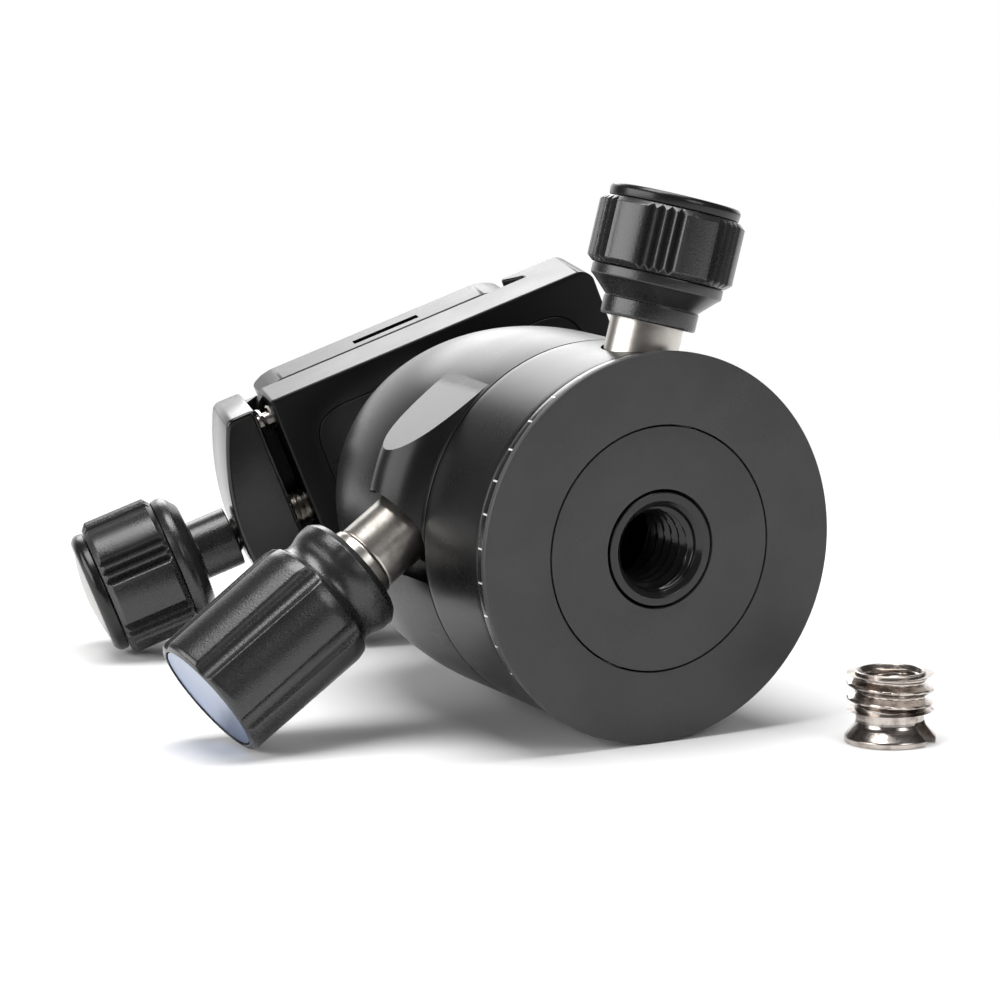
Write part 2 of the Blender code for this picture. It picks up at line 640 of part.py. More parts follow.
def make_pan_lock(seat):
    """Short grooved knob, its screw and the brake shoe."""
    pin("pan_brake_shoe", SHOE_RADIUS, SPINDLE_NECK_RADIUS + SHOE_CLEARANCE,
        PAN_SCREW_TIP - GAP, seat, NYLON, steps=COARSE)
    spigot_end = PAN_GRIP_START + CORE_LENGTH - FIT - 1 * MM
    shoulder = PAN_NECK_START + 1.2 * MM
    turned("pan_lock_screw", [
        (0, spigot_end), (PAN_SPIGOT_RADIUS, spigot_end), (PAN_SPIGOT_RADIUS, shoulder),
        (PAN_SCREW_RADIUS, shoulder), (PAN_SCREW_RADIUS, PAN_SCREW_TIP), (0, PAN_SCREW_TIP)],
        seat, STEEL)
    bore = PAN_SPIGOT_RADIUS + FIT
    counter = PAN_SCREW_RADIUS + FIT
    top = PAN_GRIP_START - GAP
    core_end = PAN_GRIP_START + CORE_LENGTH
    turned("pan_lock_neck", [
        (0, core_end), (CORE_RADIUS, core_end), (CORE_RADIUS, top), (PAN_SKIRT_RADIUS, top),
        (PAN_SKIRT_RADIUS, PAN_SKIRT_START), (PAN_COLLAR_RADIUS - 0.2 * MM, PAN_COLLAR_END),
        (PAN_COLLAR_RADIUS, PAN_COLLAR_END), (PAN_COLLAR_RADIUS, PAN_NECK_START),
        (counter, PAN_NECK_START), (counter, shoulder + FIT), (bore, shoulder + FIT),
        (bore, spigot_end + FIT), (0, spigot_end + FIT)], seat, BLACK)
    grip_sleeve("pan_lock_grip", PAN_GRIP_RADIUS, PAN_GRIP_PHASE, PAN_GRIP_START, PAN_GRIP_END, seat)
    low = PAN_GRIP_END + GAP
    rim = 0.8 * MM
    dish = 0.35 * MM
    cap = PAN_CAP_RADIUS
    turned("pan_lock_cap", [
        (0, PAN_CAP_END - dish), (cap - rim, PAN_CAP_END - dish), (cap - rim, PAN_CAP_END),
        (cap - dish, PAN_CAP_END), (cap, PAN_CAP_END - dish), (cap, low), (0, low)],
        seat, BLACK)


def make_clamp_knob(seat):
    """Grooved knob of the clamp with its tube neck, screw, cap and end disc."""
    spigot_end = CLAMP_GRIP_START + CORE_LENGTH - 1 * MM
    pin("clamp_screw", CLAMP_SCREW_RADIUS, CLAMP_SCREW_END, spigot_end, seat, STEEL)
    bore = CLAMP_SCREW_RADIUS + FIT
    top = CLAMP_GRIP_START - GAP
    core_end = CLAMP_GRIP_START + CORE_LENGTH
    flange = CLAMP_FLANGE_RADIUS
    turned("clamp_knob_neck", [
        (0, core_end), (CORE_RADIUS, core_end), (CORE_RADIUS, top), (flange - 0.3 * MM, top),
        (flange, top - 0.9 * MM), (flange - 0.3 * MM, top - 1.5 * MM),
        (flange - 1.7 * MM, CLAMP_FLANGE_START), (CLAMP_TUBE_RADIUS, CLAMP_FLANGE_START),
        (CLAMP_TUBE_RADIUS, CLAMP_NECK_START), (bore, CLAMP_NECK_START),
        (bore, spigot_end + FIT), (0, spigot_end + FIT)], seat, BLACK)
    grip_sleeve("clamp_knob_grip", CLAMP_GRIP_RADIUS, CLAMP_GRIP_PHASE, CLAMP_GRIP_START,
                CLAMP_GRIP_END, seat)
    low = CLAMP_GRIP_END + GAP
    cap = CLAMP_CAP_RADIUS
    floor = CLAMP_CAP_END - DISC_THICKNESS - 2 * FIT
    well = CLAMP_DISC_RADIUS + FIT
    turned("clamp_knob_cap", [
        (0, floor), (well, floor), (well, CLAMP_CAP_END), (cap - 0.9 * MM, CLAMP_CAP_END),
        (cap - 0.25 * MM, CLAMP_CAP_END - 0.5 * MM), (cap, CLAMP_CAP_END - 1.2 * MM),
        (cap, low), (0, low)], seat, BLACK)
    pin("clamp_knob_disc", CLAMP_DISC_RADIUS, floor + FIT, CLAMP_CAP_END - FIT, seat, SILVER)


# ----------------------------------------------------------------- clamp
def make_stem(stem_seat, clamp_seat):
    """Neck under the clamp; its foot is hollow to sit on the ball."""
    foot = BALL_RADIUS + FIT
    count = 5
    spigot_top = CLAMP_BOTTOM + SPIGOT_HEIGHT
    flange_top = CLAMP_BOTTOM - GAP
    hole = FIXING_SCREW_RADIUS + FIT
    reaches = [STEM_RADIUS + (hole - STEM_RADIUS) * i / count for i in range(count + 1)]
    turned("stem", [
        (hole, spigot_top), (SPIGOT_RADIUS, spigot_top), (SPIGOT_RADIUS, flange_top),
        (STEM_FLANGE_RADIUS, flange_top), (STEM_FLANGE_RADIUS, flange_top - 0.8 * MM)]
        + [(reach, sphere_height(foot, reach)) for reach in reaches],
        stem_seat, STEEL, ring=True)
    head_high = CLAMP_BOTTOM + CLAMP_FLOOR - GAP
    head_low = head_high - FIXING_HEAD_HEIGHT
    tip = foot + 0.2 * MM
    turned("clamp_fixing_screw", [
        (0, head_high), (FIXING_HEAD_RADIUS, head_high), (FIXING_HEAD_RADIUS, head_low),
        (FIXING_SCREW_RADIUS, head_low), (FIXING_SCREW_RADIUS, tip), (0, tip)], clamp_seat,
        STEEL)
    return head_low


def make_clamp(seat, head_low):
    """Clamp body, sliding jaw, guide pins and springs."""
    low = CLAMP_BOTTOM
    floor = low + CLAMP_FLOOR
    top = low + CLAMP_LIP_HEIGHT
    half = CLAMP_HALF_LENGTH
    wall = PLATE_WIDTH / 2 + GAP           # inner face of the fixed jaw, plate centred at x = 0
    throat = wall - PLATE_FLANK
    flank_low = floor + PLATE_FOOT + GAP
    flank_high = flank_low + PLATE_FLANK
    edge = 0.4 * MM
    body = side_slab("clamp_body", [
        (CLAMP_LEFT + edge, low), (CLAMP_RIGHT - edge, low), (CLAMP_RIGHT, low + edge),
        (CLAMP_RIGHT, top - edge), (CLAMP_RIGHT - edge, top), (throat + edge, top),
        (throat, top - edge), (throat, flank_high), (wall, flank_low), (wall, floor),
        (CLAMP_LEFT, floor), (CLAMP_LEFT, low + edge)], half, seat, BLACK)
    cut(body, slab("clamp_plan", rounded_plan(CLAMP_LEFT - CLAMP_CORNER, CLAMP_RIGHT + edge / 4,
                                              half, CLAMP_CORNER), 0, FAR, seat), "INTERSECT")
    cut(body, pin("fixing_hole", FIXING_SCREW_RADIUS + FIT, 0, FAR, seat))
    cut(body, pin("fixing_counterbore", FIXING_HEAD_RADIUS + FIT, head_low - FIT, FAR, seat))
    cut(body, pin("stem_recess", SPIGOT_RADIUS + FIT, 0, low + SPIGOT_HEIGHT + FIT, seat))

    centre_line = low + KNOB_AXIS_HEIGHT
    across = (0, -math.pi / 2, 0)
    screw_place = (0, 0, centre_line)
    cut(body, pin("screw_hole", CLAMP_SCREW_RADIUS + FIT, CLAMP_SCREW_END - FIT, FAR, seat,
                  place=screw_place, turn=across))
    jaw = movable_jaw(seat, low, flank_low, flank_high)
    cut(jaw, pin("jaw_hole", CLAMP_SCREW_RADIUS + FIT, 0, FAR, seat,
                 place=screw_place, turn=across))
    jaw_face = JAW_STATION
    pin_end = jaw_face + 2 * MM
    for number, side in enumerate((1, -1), 1):
        place = (0, side * GUIDE_PIN_OFFSET, centre_line)
        pin(f"guide_pin_{number}", GUIDE_PIN_RADIUS, GUIDE_PIN_START, pin_end, seat, STEEL,
            steps=COARSE, place=place, turn=across)
        hole = pin(f"pin_hole_{number}", GUIDE_PIN_RADIUS + FIT, GUIDE_PIN_START - FIT,
                   pin_end + FIT, seat, steps=COARSE, place=place, turn=across)
        cut(body, hole)
        cut(jaw, hole)
        spring_start = -CLAMP_LEFT - SPRING_POCKET
        coil = GUIDE_PIN_RADIUS + 2 * FIT + SPRING_WIRE
        pocket = coil + SPRING_WIRE + GAP
        cut(body, pin(f"spring_pocket_{number}", pocket, spring_start, FAR, seat, steps=COARSE,
                      place=place, turn=across))
        spring(f"jaw_spring_{number}", seat, coil, spring_start + FIT, jaw_face - FIT,
               place=place, turn=across)


def spring(name, parent, coil, low, high, **placing):
    """Open coil along local Z as one closed wire."""
    per_turn = 10
    curve = bpy.data.curves.new(name, "CURVE")
    curve.dimensions = "3D"
    spline = curve.splines.new("POLY")
    count = SPRING_TURNS * per_turn
    spline.points.add(count)
    rise = high - low - 2 * SPRING_WIRE
    for i in range(count + 1):
        x, y, z = around(coil, 2 * math.pi * i / per_turn, low + SPRING_WIRE + rise * i / count)
        spline.points[i].co = (x, y, z, 1)
    curve.bevel_depth = SPRING_WIRE
    curve.bevel_resolution = 0
    curve.use_fill_caps = True
    return add(name, curve, parent, STEEL, **placing)


def movable_jaw(seat, low, flank_low, flank_high):
    """Jaw with a bowed outer side and a nose over the plate's flank."""
    face = -JAW_STATION
    top = low + JAW_HEIGHT
    half = CLAMP_HALF_LENGTH - 0.2 * MM
    count = 12
    outline = [(face, half), (face, -half)]
    for i in range(count + 1):
        share = -1 + 2 * i / count
        width = JAW_WIDTH - (JAW_WIDTH - JAW_END_WIDTH) * share ** 2
        corner = 0.8 * MM if i in (0, count) else 0
        outline.append((face - width + corner, half * share))
    jaw = slab("movable_jaw", outline, low, top, seat, BLACK)
    throat = PLATE_FLANK - PLATE_WIDTH / 2 - GAP
    root = face - 1 * MM
    reach = face + PLATE_FLANK - GAP
    nose = side_slab("jaw_nose", [
        (root, flank_low + GAP), (face, flank_low + GAP), (min(throat, reach), flank_high),
        (min(throat, reach), top), (root, top)], half - JAW_NOSE_MARGIN, seat)
    cut(jaw, nose, "UNION")
    return jaw


def make_plate(seat):
    """Dovetail quick release plate with pads and camera screw."""
    low = CLAMP_BOTTOM + CLAMP_FLOOR + GAP
    right = PLATE_WIDTH / 2
    top = low + PLATE_THICKNESS
    half = CLAMP_HALF_LENGTH
    throat = right - PLATE_FLANK
    shoulder = low + PLATE_FOOT + PLATE_FLANK
    edge = 0.8 * MM
    flank = [(right, low), (right, low + PLATE_FOOT), (throat, shoulder), (throat, top - edge),
             (throat - edge, top)]
    plate = side_slab("qr_plate", flank + [(-x, z) for x, z in flank[::-1]], half, seat, BLACK)
    head_low = low + GAP
    head_high = low + 3.2 * MM
    hole = CAMERA_SCREW_RADIUS + FIT
    cut(plate, pin("screw_well", CAMERA_HEAD_RADIUS + FIT, 0, head_high + FIT, seat))
    cut(plate, pin("camera_hole", hole, 0, FAR, seat))
    slot_low = low + PLATE_SLOT_LOW
    cut(plate, block("plate_slot", (PLATE_SLOT_LEFT, -FAR, slot_low),
                     (PLATE_SLOT_RIGHT, PLATE_SLOT_DEPTH - half, slot_low + PLATE_SLOT_HEIGHT),
                     seat))
    tip = top + CAMERA_SCREW_REACH
    bevel = 0.5 * MM
    radius = CAMERA_SCREW_RADIUS
    screw = turned("camera_screw", [
        (0, tip), (radius - bevel, tip), (radius, tip - bevel), (radius, head_high),
        (CAMERA_HEAD_RADIUS, head_high), (CAMERA_HEAD_RADIUS, head_low), (0, head_low)],
        seat, STEEL)
    cut(screw, block("coin_slot", (-bevel, -FAR, 0), (bevel, FAR, head_low + 1 * MM), seat))
    pad_half = half - PAD_MARGIN
    pad_inner = CAMERA_SCREW_RADIUS + PAD_MARGIN
    pad_outer = throat - PAD_MARGIN
    for number, side in enumerate((1, -1), 1):
        ends = sorted((side * pad_inner, side * pad_outer))
        block(f"plate_pad_{number}", (ends[0], -pad_half, top), (ends[1], pad_half,
                                                               top + PAD_THICKNESS),
              seat, RUBBER, bevel=0.2 * MM)


def make_bush(seat):
    """Thread reducer standing on its slotted flange; the thread is turned ridges."""
    top = BUSH_HEIGHT
    outer = [(BUSH_RIM_RADIUS, top)]
    crest = top - BUSH_FIRST_CREST
    for _ in range(BUSH_RIDGES):
        outer += [(THREAD_RADIUS, crest), (BUSH_WAIST_RADIUS, crest - THREAD_PITCH / 2)]
        crest -= THREAD_PITCH
    outer += [(BUSH_WAIST_RADIUS, BUSH_CONE_HEIGHT),
              (BUSH_FLANGE_RADIUS, BUSH_FLANGE_THICKNESS), (BUSH_FLANGE_RADIUS, 0)]
    chamfer = BUSH_CHAMFER
    bore = BUSH_BORE_RADIUS
    inner = [(bore + chamfer, 0), (bore, chamfer), (bore, top - chamfer), (bore + chamfer, top)]
    bush = turned("thread_bush", outer + inner, seat, STEEL, ring=True)
    wide = BUSH_SLOT_WIDTH / 2
    cut(bush, block("bush_slot", (-FAR, -wide, -GAP), (FAR, wide, BUSH_SLOT_DEPTH), seat))


def set_on_floor(assembly):
    """Rest the object on z = 0 with the middle of its footprint at the origin."""
    bpy.context.view_layer.update()
    graph = bpy.context.evaluated_depsgraph_get()
    points = []
    for thing in parts.objects:
        if thing.type == "EMPTY":
            continue
        shown = thing.evaluated_get(graph)
        mesh = shown.to_mesh()
        points += [shown.matrix_world @ vertex.co for vertex in mesh.vertices]
        shown.to_mesh_clear()
    low = [min(point[axis] for point in points) for axis in range(3)]
    high = [max(point[axis] for point in points) for axis in range(3)]
    assembly.location = (-(low[0] + high[0]) / 2, -(low[1] + high[1]) / 2, -low[2])
    bpy.context.view_layer.update()


def main():
    """Build the head in its own upright frame, lay it down and stand the bush beside it."""
    start_scene()
    assembly = empty("assembly")
    lift = BASE_RADIUS * math.cos(LYING_PITCH)
    head = empty("head", assembly, (0, 0, lift), (LYING_PITCH - math.pi / 2, 0, 0))
    pan = empty("pan_axis", head)
    lock = side_axis("ball_lock_axis", pan, LOCK_AZIMUTH, LOCK_OFFSET, LOCK_STATION)
    pan_lock = side_axis("pan_lock_axis", pan, PAN_AZIMUTH, PAN_OFFSET, PAN_STATION)
    tilt_a = empty("tilt_a_axis", pan, (0, 0, BALL_STATION), (0, TILT_A, 0))
    tilt_b = empty("tilt_b_axis", tilt_a, turn=(TILT_B, 0, 0))
    clamp = empty("clamp_axis", tilt_b, turn=(0, 0, CLAMP_TURN))
    knob = empty("clamp_knob_axis", clamp, (0, 0, CLAMP_BOTTOM + KNOB_AXIS_HEIGHT),
                 (0, -math.pi / 2, 0))
    make_base(head)
    make_housings(pan, lock, pan_lock)
    make_ball(pan, lock, tilt_a)
    make_ball_lock(lock)
    make_pan_lock(pan_lock)
    make_clamp(clamp, make_stem(tilt_b, clamp))
    make_clamp_knob(knob)
    make_plate(clamp)
    bush = empty("bush_axis", assembly, (BUSH_X, BUSH_Y, 0), (0, 0, BUSH_TURN))
    make_bush(bush)
    set_on_floor(assembly)


main()
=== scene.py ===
# A small tripod ball head on its side, with its quick release clamp and a loose thread bush.
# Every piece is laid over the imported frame: seats come from the joints, sizes are in millimetres.
import json
import math

import bmesh
import bpy
import numpy as np
from mathutils import Matrix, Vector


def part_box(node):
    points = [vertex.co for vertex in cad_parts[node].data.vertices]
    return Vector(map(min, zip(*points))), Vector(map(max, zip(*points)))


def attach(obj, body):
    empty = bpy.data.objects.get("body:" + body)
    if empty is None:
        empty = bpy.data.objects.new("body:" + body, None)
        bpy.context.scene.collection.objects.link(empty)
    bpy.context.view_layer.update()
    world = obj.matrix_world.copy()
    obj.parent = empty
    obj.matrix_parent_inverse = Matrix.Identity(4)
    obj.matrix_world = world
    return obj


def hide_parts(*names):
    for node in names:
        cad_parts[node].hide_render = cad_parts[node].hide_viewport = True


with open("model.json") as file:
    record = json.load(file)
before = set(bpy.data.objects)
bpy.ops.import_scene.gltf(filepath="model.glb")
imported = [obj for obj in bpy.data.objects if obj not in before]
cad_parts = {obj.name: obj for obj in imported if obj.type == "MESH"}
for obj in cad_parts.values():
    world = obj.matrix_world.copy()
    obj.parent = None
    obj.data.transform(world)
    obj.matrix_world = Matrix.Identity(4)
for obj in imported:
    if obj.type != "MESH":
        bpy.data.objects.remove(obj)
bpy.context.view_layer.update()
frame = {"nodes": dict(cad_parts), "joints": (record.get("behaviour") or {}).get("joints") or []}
mm = 0.001
fullTurn = 2 * math.pi
joints = {joint["name"]: joint for joint in frame["joints"]}
dressed = set()                     # CAD nodes that a new piece or a finish has taken care of
print("frame loaded with", len(frame["nodes"]), "nodes")


# seats: where each group of pieces sits and which way it looks
def unit(vector):
    # a vector over its own length
    vector = np.asarray(vector, float)
    return vector / np.linalg.norm(vector)


def seatOn(jointName, ahead):
    # local Z lies on the joint's axis, local X as near the given direction as it can
    axis = unit(joints[jointName]["axis"])
    side = unit(ahead - axis * np.dot(ahead, axis))
    return {"at": np.array(joints[jointName]["pos_m"], float),
            "turn": np.column_stack([side, np.cross(axis, side), axis])}


panAxis = unit(joints["pan"]["axis"])
clampUp = unit(joints["clamp_turn"]["axis"])
panSeat = seatOn("pan", unit(joints["ball_lock_turn"]["axis"]))
lockSeat = seatOn("ball_lock_turn", -panAxis)
panLockSeat = seatOn("pan_lock_turn", -panAxis)
clampSeat = seatOn("clamp_turn", -unit(joints["clamp_knob_turn"]["axis"]))
clampKnobSeat = seatOn("clamp_knob_turn", clampUp)
bushLow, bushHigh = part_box("thread_bush")
bushSeat = {"at": np.array([(bushLow.x + bushHigh.x) / 2, (bushLow.y + bushHigh.y) / 2, bushLow.z]),
            "turn": np.eye(3)}


# shapes: closed grids worked out as whole arrays
def gridFaces(rows, columns, ringed):
    # quads between neighbours; columns always close, rows only when the section is a ring
    r = np.arange(rows if ringed else rows - 1)[:, None]
    c = np.arange(columns)[None, :]
    below, beside = (r + 1) % rows, (c + 1) % columns
    quads = [r * columns + c, r * columns + beside, below * columns + beside, below * columns + c]
    return np.stack(quads, -1).reshape(-1, 4).tolist()


def rounded(corners, steps=4):
    # a corner (x, y, reach) gives way to a parabola that starts and ends one reach away from it
    corners = np.array(corners, float)
    points, reach = corners[:, :2], corners[:, 2:]
    back, ahead = np.roll(points, 1, 0) - points, np.roll(points, -1, 0) - points
    backLength = np.linalg.norm(back, axis=1, keepdims=True)
    aheadLength = np.linalg.norm(ahead, axis=1, keepdims=True)
    reach = np.minimum(reach, 0.48 * np.minimum(backLength, aheadLength))
    start = points + back / backLength * reach
    end = points + ahead / aheadLength * reach
    t = np.linspace(0, 1, steps + 1)[None, :, None]
    curve = (1 - t) ** 2 * start[:, None] + 2 * t * (1 - t) * points[:, None] + t ** 2 * end[:, None]
    curve = curve.reshape(-1, 2)
    moved = np.linalg.norm(np.diff(curve, axis=0, append=curve[:1] + 9), axis=1) > 1e-6
    return curve[moved]


def refined(points, step):
    # straight stretches longer than a step are shared into equal shorter ones
    length = np.linalg.norm(np.diff(points, axis=0), axis=1)
    count = np.maximum(np.ceil(length / step).astype(int), 1)
    parts = [np.linspace(a, b, n, endpoint=False) for a, b, n in zip(points[:-1], points[1:], count)]
    return np.vstack(parts + [points[-1:]])


def turnedGrid(profile, angles, limit=None):
    # each (radius, height) goes round the axis; a limit per angle, or per point, holds the radius in
    radius = np.repeat(profile[:, :1], len(angles), 1)
    if limit is not None:
        radius = np.minimum(radius, limit)
    height = np.repeat(profile[:, 1:2], len(angles), 1)
    return np.stack([radius * np.cos(angles), radius * np.sin(angles), height], -1)


def evenAngles(count):
    # a full turn shared equally
    return np.arange(count) * fullTurn / count


def rectangle(left, right, low, high, corner):
    # four corners in order, all rounded alike
    return [(right, low, corner), (right, high, corner), (left, high, corner), (left, low, corner)]


def drawnIn(corners, inset):
    # corners of an anticlockwise outline moved in by the same distance from both of their sides
    points = corners[:, :2]
    ahead = np.roll(points, -1, 0) - points
    ahead = ahead / np.linalg.norm(ahead, axis=1, keepdims=True)
    out = np.stack([ahead[:, 1], -ahead[:, 0]], 1)
    before = np.roll(out, 1, 0)
    mitre = (out + before) / (1 + np.sum(out * before, axis=1, keepdims=True))
    return np.column_stack([points - mitre * inset, corners[:, 2]])


def slabGrid(corners, low, high, edge, fillet=4, steps=4):
    # a rounded outline carried up from low to high; at both ends it draws in by a quarter circle
    corners = np.array(corners, float)
    x, y = corners[:, 0], corners[:, 1]
    if np.sum(x * np.roll(y, -1) - np.roll(x, -1) * y) < 0:
        corners = corners[::-1]
    turn = np.linspace(0, math.pi / 2, steps + 1)
    inset = np.concatenate([[1.3 * edge], edge * (1 - np.sin(turn))])
    rise = np.concatenate([[0], edge * (1 - np.cos(turn))])
    inset = np.concatenate([inset, inset[::-1]])
    height = np.concatenate([low + rise, high - rise[::-1]])
    flat = np.stack([rounded(drawnIn(corners, each), fillet) for each in inset])
    return np.concatenate([flat, np.broadcast_to(height[:, None, None], flat.shape[:2] + (1,))], 2)


def bare(name, grid, seat, ringed=False, capped=False):
    # grid in millimetres and seat's own frame -> object at the origin, poles merged, faces outwards
    rows, columns = grid.shape[:2]
    points = grid.reshape(-1, 3) * mm @ seat["turn"].T + seat["at"]
    faces = gridFaces(rows, columns, ringed)
    if capped:
        faces += [list(range(columns)), list(range((rows - 1) * columns, rows * columns))]
    mesh = bpy.data.meshes.new(name)
    mesh.from_pydata(points.tolist(), [], faces)
    return linked(name, mesh)


def inScene(name, data):
    # an object for a mesh, a lamp or a camera
    thing = bpy.data.objects.new(name, data)
    bpy.context.scene.collection.objects.link(thing)
    return thing


def linked(name, mesh):
    # points that coincide become one, slivers go, faces are turned outwards
    shape = bmesh.new()
    shape.from_mesh(mesh)
    bmesh.ops.remove_doubles(shape, verts=shape.verts, dist=2e-7)
    bmesh.ops.dissolve_degenerate(shape, edges=shape.edges, dist=1e-8)
    bmesh.ops.recalc_face_normals(shape, faces=shape.faces)
    shape.to_mesh(mesh)
    shape.free()
    return inScene(name, mesh)


def worked(thing, tools):
    # exact booleans with each (tool, operation), applied at once; the tools are thrown away
    for tool, operation in tools:
        step = thing.modifiers.new(tool.name, "BOOLEAN")
        step.object, step.operation, step.solver = tool, operation, "EXACT"
    bpy.context.view_layer.update()
    graph = bpy.context.evaluated_depsgraph_get()
    result = bpy.data.meshes.new_from_object(thing.evaluated_get(graph))
    thing.modifiers.clear()
    thing.data = result
    for tool, _ in tools:
        bpy.data.objects.remove(tool, do_unlink=True)
    return thing


def finished(thing, body, finish, nodes, crease=28):
    # shading, finish, body and the CAD nodes that the piece stands for
    thing.data.materials.clear()
    thing.data.materials.append(finish.material)
    thing.data.polygons.foreach_set("material_index", np.zeros(len(thing.data.polygons), int))
    thing.data.shade_smooth()
    thing.data.set_sharp_from_angle(angle=math.radians(crease))
    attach(thing, body)
    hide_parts(*nodes)
    dressed.update(nodes)
    return thing


def turned(name, corners, seat, around=128, ringed=False, step=None, angles=None, limit=None):
    # a turned piece from its rounded section
    profile = rounded(corners)
    if step:
        profile = refined(profile, step)
    if angles is None:
        angles = evenAngles(around)
    if callable(limit):
        limit = limit(profile)
    return bare(name, turnedGrid(profile, angles, limit), seat, ringed)


def cylinderTool(name, profile, seat, around=96):
    # a cutter turned about the seat's axis
    return bare(name, turnedGrid(np.array(profile, float), evenAngles(around)), seat)


def boxTool(name, low, high, seat):
    # a plain cutter between two corners
    loop = np.array([[low[0], low[1]], [high[0], low[1]], [high[0], high[1]], [low[0], high[1]]], float)
    grid = np.stack([np.column_stack([loop, np.full(4, z)]) for z in (low[2], high[2])])
    return bare(name, grid, seat, capped=True)


# finishes
class Wire:
    # an output socket on which sums can be written as sums
    def __init__(self, finish, socket):
        self.finish, self.socket = finish, socket

    def maths(self, operation, *values):
        return self.finish.node("ShaderNodeMath", {"operation": operation}, values)

    def __add__(self, other):
        return self.maths("ADD", self, other)

    def __sub__(self, other):
        return self.maths("SUBTRACT", self, other)

    def __rsub__(self, other):
        return self.maths("SUBTRACT", other, self)

    def __mul__(self, other):
        return self.maths("MULTIPLY", self, other)

    def __truediv__(self, other):
        return self.maths("DIVIDE", self, other)

    __radd__, __rmul__ = __add__, __mul__

    def size(self):
        return self.maths("ABSOLUTE", self)

    def atMost(self, other):
        return self.maths("MINIMUM", self, other)

    def between(self, low, high):
        # 0 below low, 1 above high, smooth in between
        return self.finish.node("ShaderNodeMapRange", {"interpolation_type": "SMOOTHSTEP"},
                                {0: self, 1: low, 2: high})


class Finish:
    # a material with its shader, and the nodes that the finishes below are written with
    def __init__(self, name, **fixed):
        self.material = bpy.data.materials.new(name)
        self.material.use_nodes = True
        self.tree = self.material.node_tree
        self.shader = self.tree.nodes["Principled BSDF"]
        for socket, value in fixed.items():
            self.shader.inputs[socket.replace("_", " ")].default_value = value

    def node(self, kind, settings, inputs=(), output=0):
        # any node: its settings first, then the values or wires of its inputs
        made = self.tree.nodes.new(kind)
        for setting, value in settings.items():
            setattr(made, setting, value)
        pairs = inputs.items() if isinstance(inputs, dict) else enumerate(inputs)
        for socket, value in pairs:
            if isinstance(value, Wire):
                self.tree.links.new(value.socket, made.inputs[socket])
            else:
                made.inputs[socket].default_value = value
        return Wire(self, made.outputs[output])

    def place(self, seat=None):
        # object coordinates, turned into a seat's own frame when one is given
        spot = self.node("ShaderNodeTexCoord", {}, output="Object")
        if seat is None:
            return spot
        back = Matrix(seat["turn"].T.tolist())
        shift = -seat["turn"].T @ seat["at"]
        return self.node("ShaderNodeMapping", {}, {"Vector": spot, "Location": shift.tolist(),
                                                   "Rotation": tuple(back.to_euler())})

    def parts(self, vector):
        # the three numbers of a vector
        split = self.node("ShaderNodeSeparateXYZ", {}, [vector])
        return [Wire(self, split.socket.node.outputs[i]) for i in range(3)]

    def noise(self, vector, scale, detail=2.0, roughness=0.5):
        return self.node("ShaderNodeTexNoise", {}, {"Vector": vector, "Scale": scale,
                                                    "Detail": detail, "Roughness": roughness})

    def fromAxis(self, x, y):
        # distance from the axis: the root of both squares together
        square = x * x + y * y
        return square.maths("SQRT", square)

    def streaks(self, number, scale, detail=2.0):
        # noise that changes with one number only
        return self.node("ShaderNodeTexNoise", {"noise_dimensions": "1D"},
                         {"W": number, "Scale": scale, "Detail": detail})

    def blend(self, share, first, second):
        # one colour into another
        return self.node("ShaderNodeMix", {"data_type": "RGBA"},
                         {0: share, 6: (*first, 1) if isinstance(first, tuple) else first,
                          7: (*second, 1) if isinstance(second, tuple) else second}, output=2)

    def bump(self, height, strength, distance, normal=None):
        inputs = {"Height": height, "Strength": strength, "Distance": distance}
        if normal is not None:
            inputs["Normal"] = normal
        return self.node("ShaderNodeBump", {}, inputs)

    def feed(self, **wires):
        for socket, wire in wires.items():
            self.tree.links.new(wire.socket, self.shader.inputs[socket.replace("_", " ")])
        return self


def satinBlack(name, tone=0.008, gloss=0.34, grain=0.2, seat=None, turning=0.0, sheen=0.45):
    # anodised aluminium: black dye, a blasted grain, slightly worn lighter patches, faint turning marks
    finish = Finish(name, Specular_IOR_Level=sheen)
    spot = finish.place()
    cloud = finish.noise(spot, 160, 3)
    speck = finish.noise(spot, 4200, 2, 0.6)
    low, high = tone * 0.9, tone * 1.12
    colour = finish.blend(cloud.between(0.3, 0.7), (low, low, low * 1.05), (high, high, high * 1.03))
    colour = finish.blend(speck.between(0.58, 0.8) * 0.2, colour, (tone * 3, tone * 3, tone * 3.1))
    normal = finish.bump(speck, grain, 0.00004)
    rough = gloss + (cloud - 0.5) * 0.08 + (speck - 0.5) * 0.08
    if seat is not None:
        x, y, _ = finish.parts(finish.place(seat))
        rings = finish.streaks(finish.fromAxis(x, y), 5200, 3)
        normal = finish.bump(rings, turning, 0.00003, normal)
        rough = rough + (rings - 0.5) * 0.08
    return finish.feed(Base_Color=colour, Roughness=rough, Normal=normal)


def turnedSteel(name, seat, light=(0.60, 0.57, 0.53), dark=(0.28, 0.25, 0.22), gloss=0.25, mottle=0.7):
    # stainless steel with fine turning lines round its axis and a mottled, handled surface
    finish = Finish(name, Metallic=1.0)
    spot = finish.place(seat)
    _, _, along = finish.parts(spot)
    lines = finish.streaks(along, 9000, 3)
    stain = finish.noise(spot, 420, 6, 0.7)
    fleck = finish.noise(spot, 2600, 3, 0.65)
    share = stain.between(0.42, 0.68) * mottle + fleck.between(0.5, 0.8) * 0.35 * mottle
    colour = finish.blend(share.atMost(1.0), light, dark)
    rough = gloss + stain * 0.12 + (lines - 0.5) * 0.06
    normal = finish.bump(lines, 0.12, 0.00002, finish.bump(fleck, 0.15, 0.00003))
    return finish.feed(Base_Color=colour, Roughness=rough, Normal=normal)


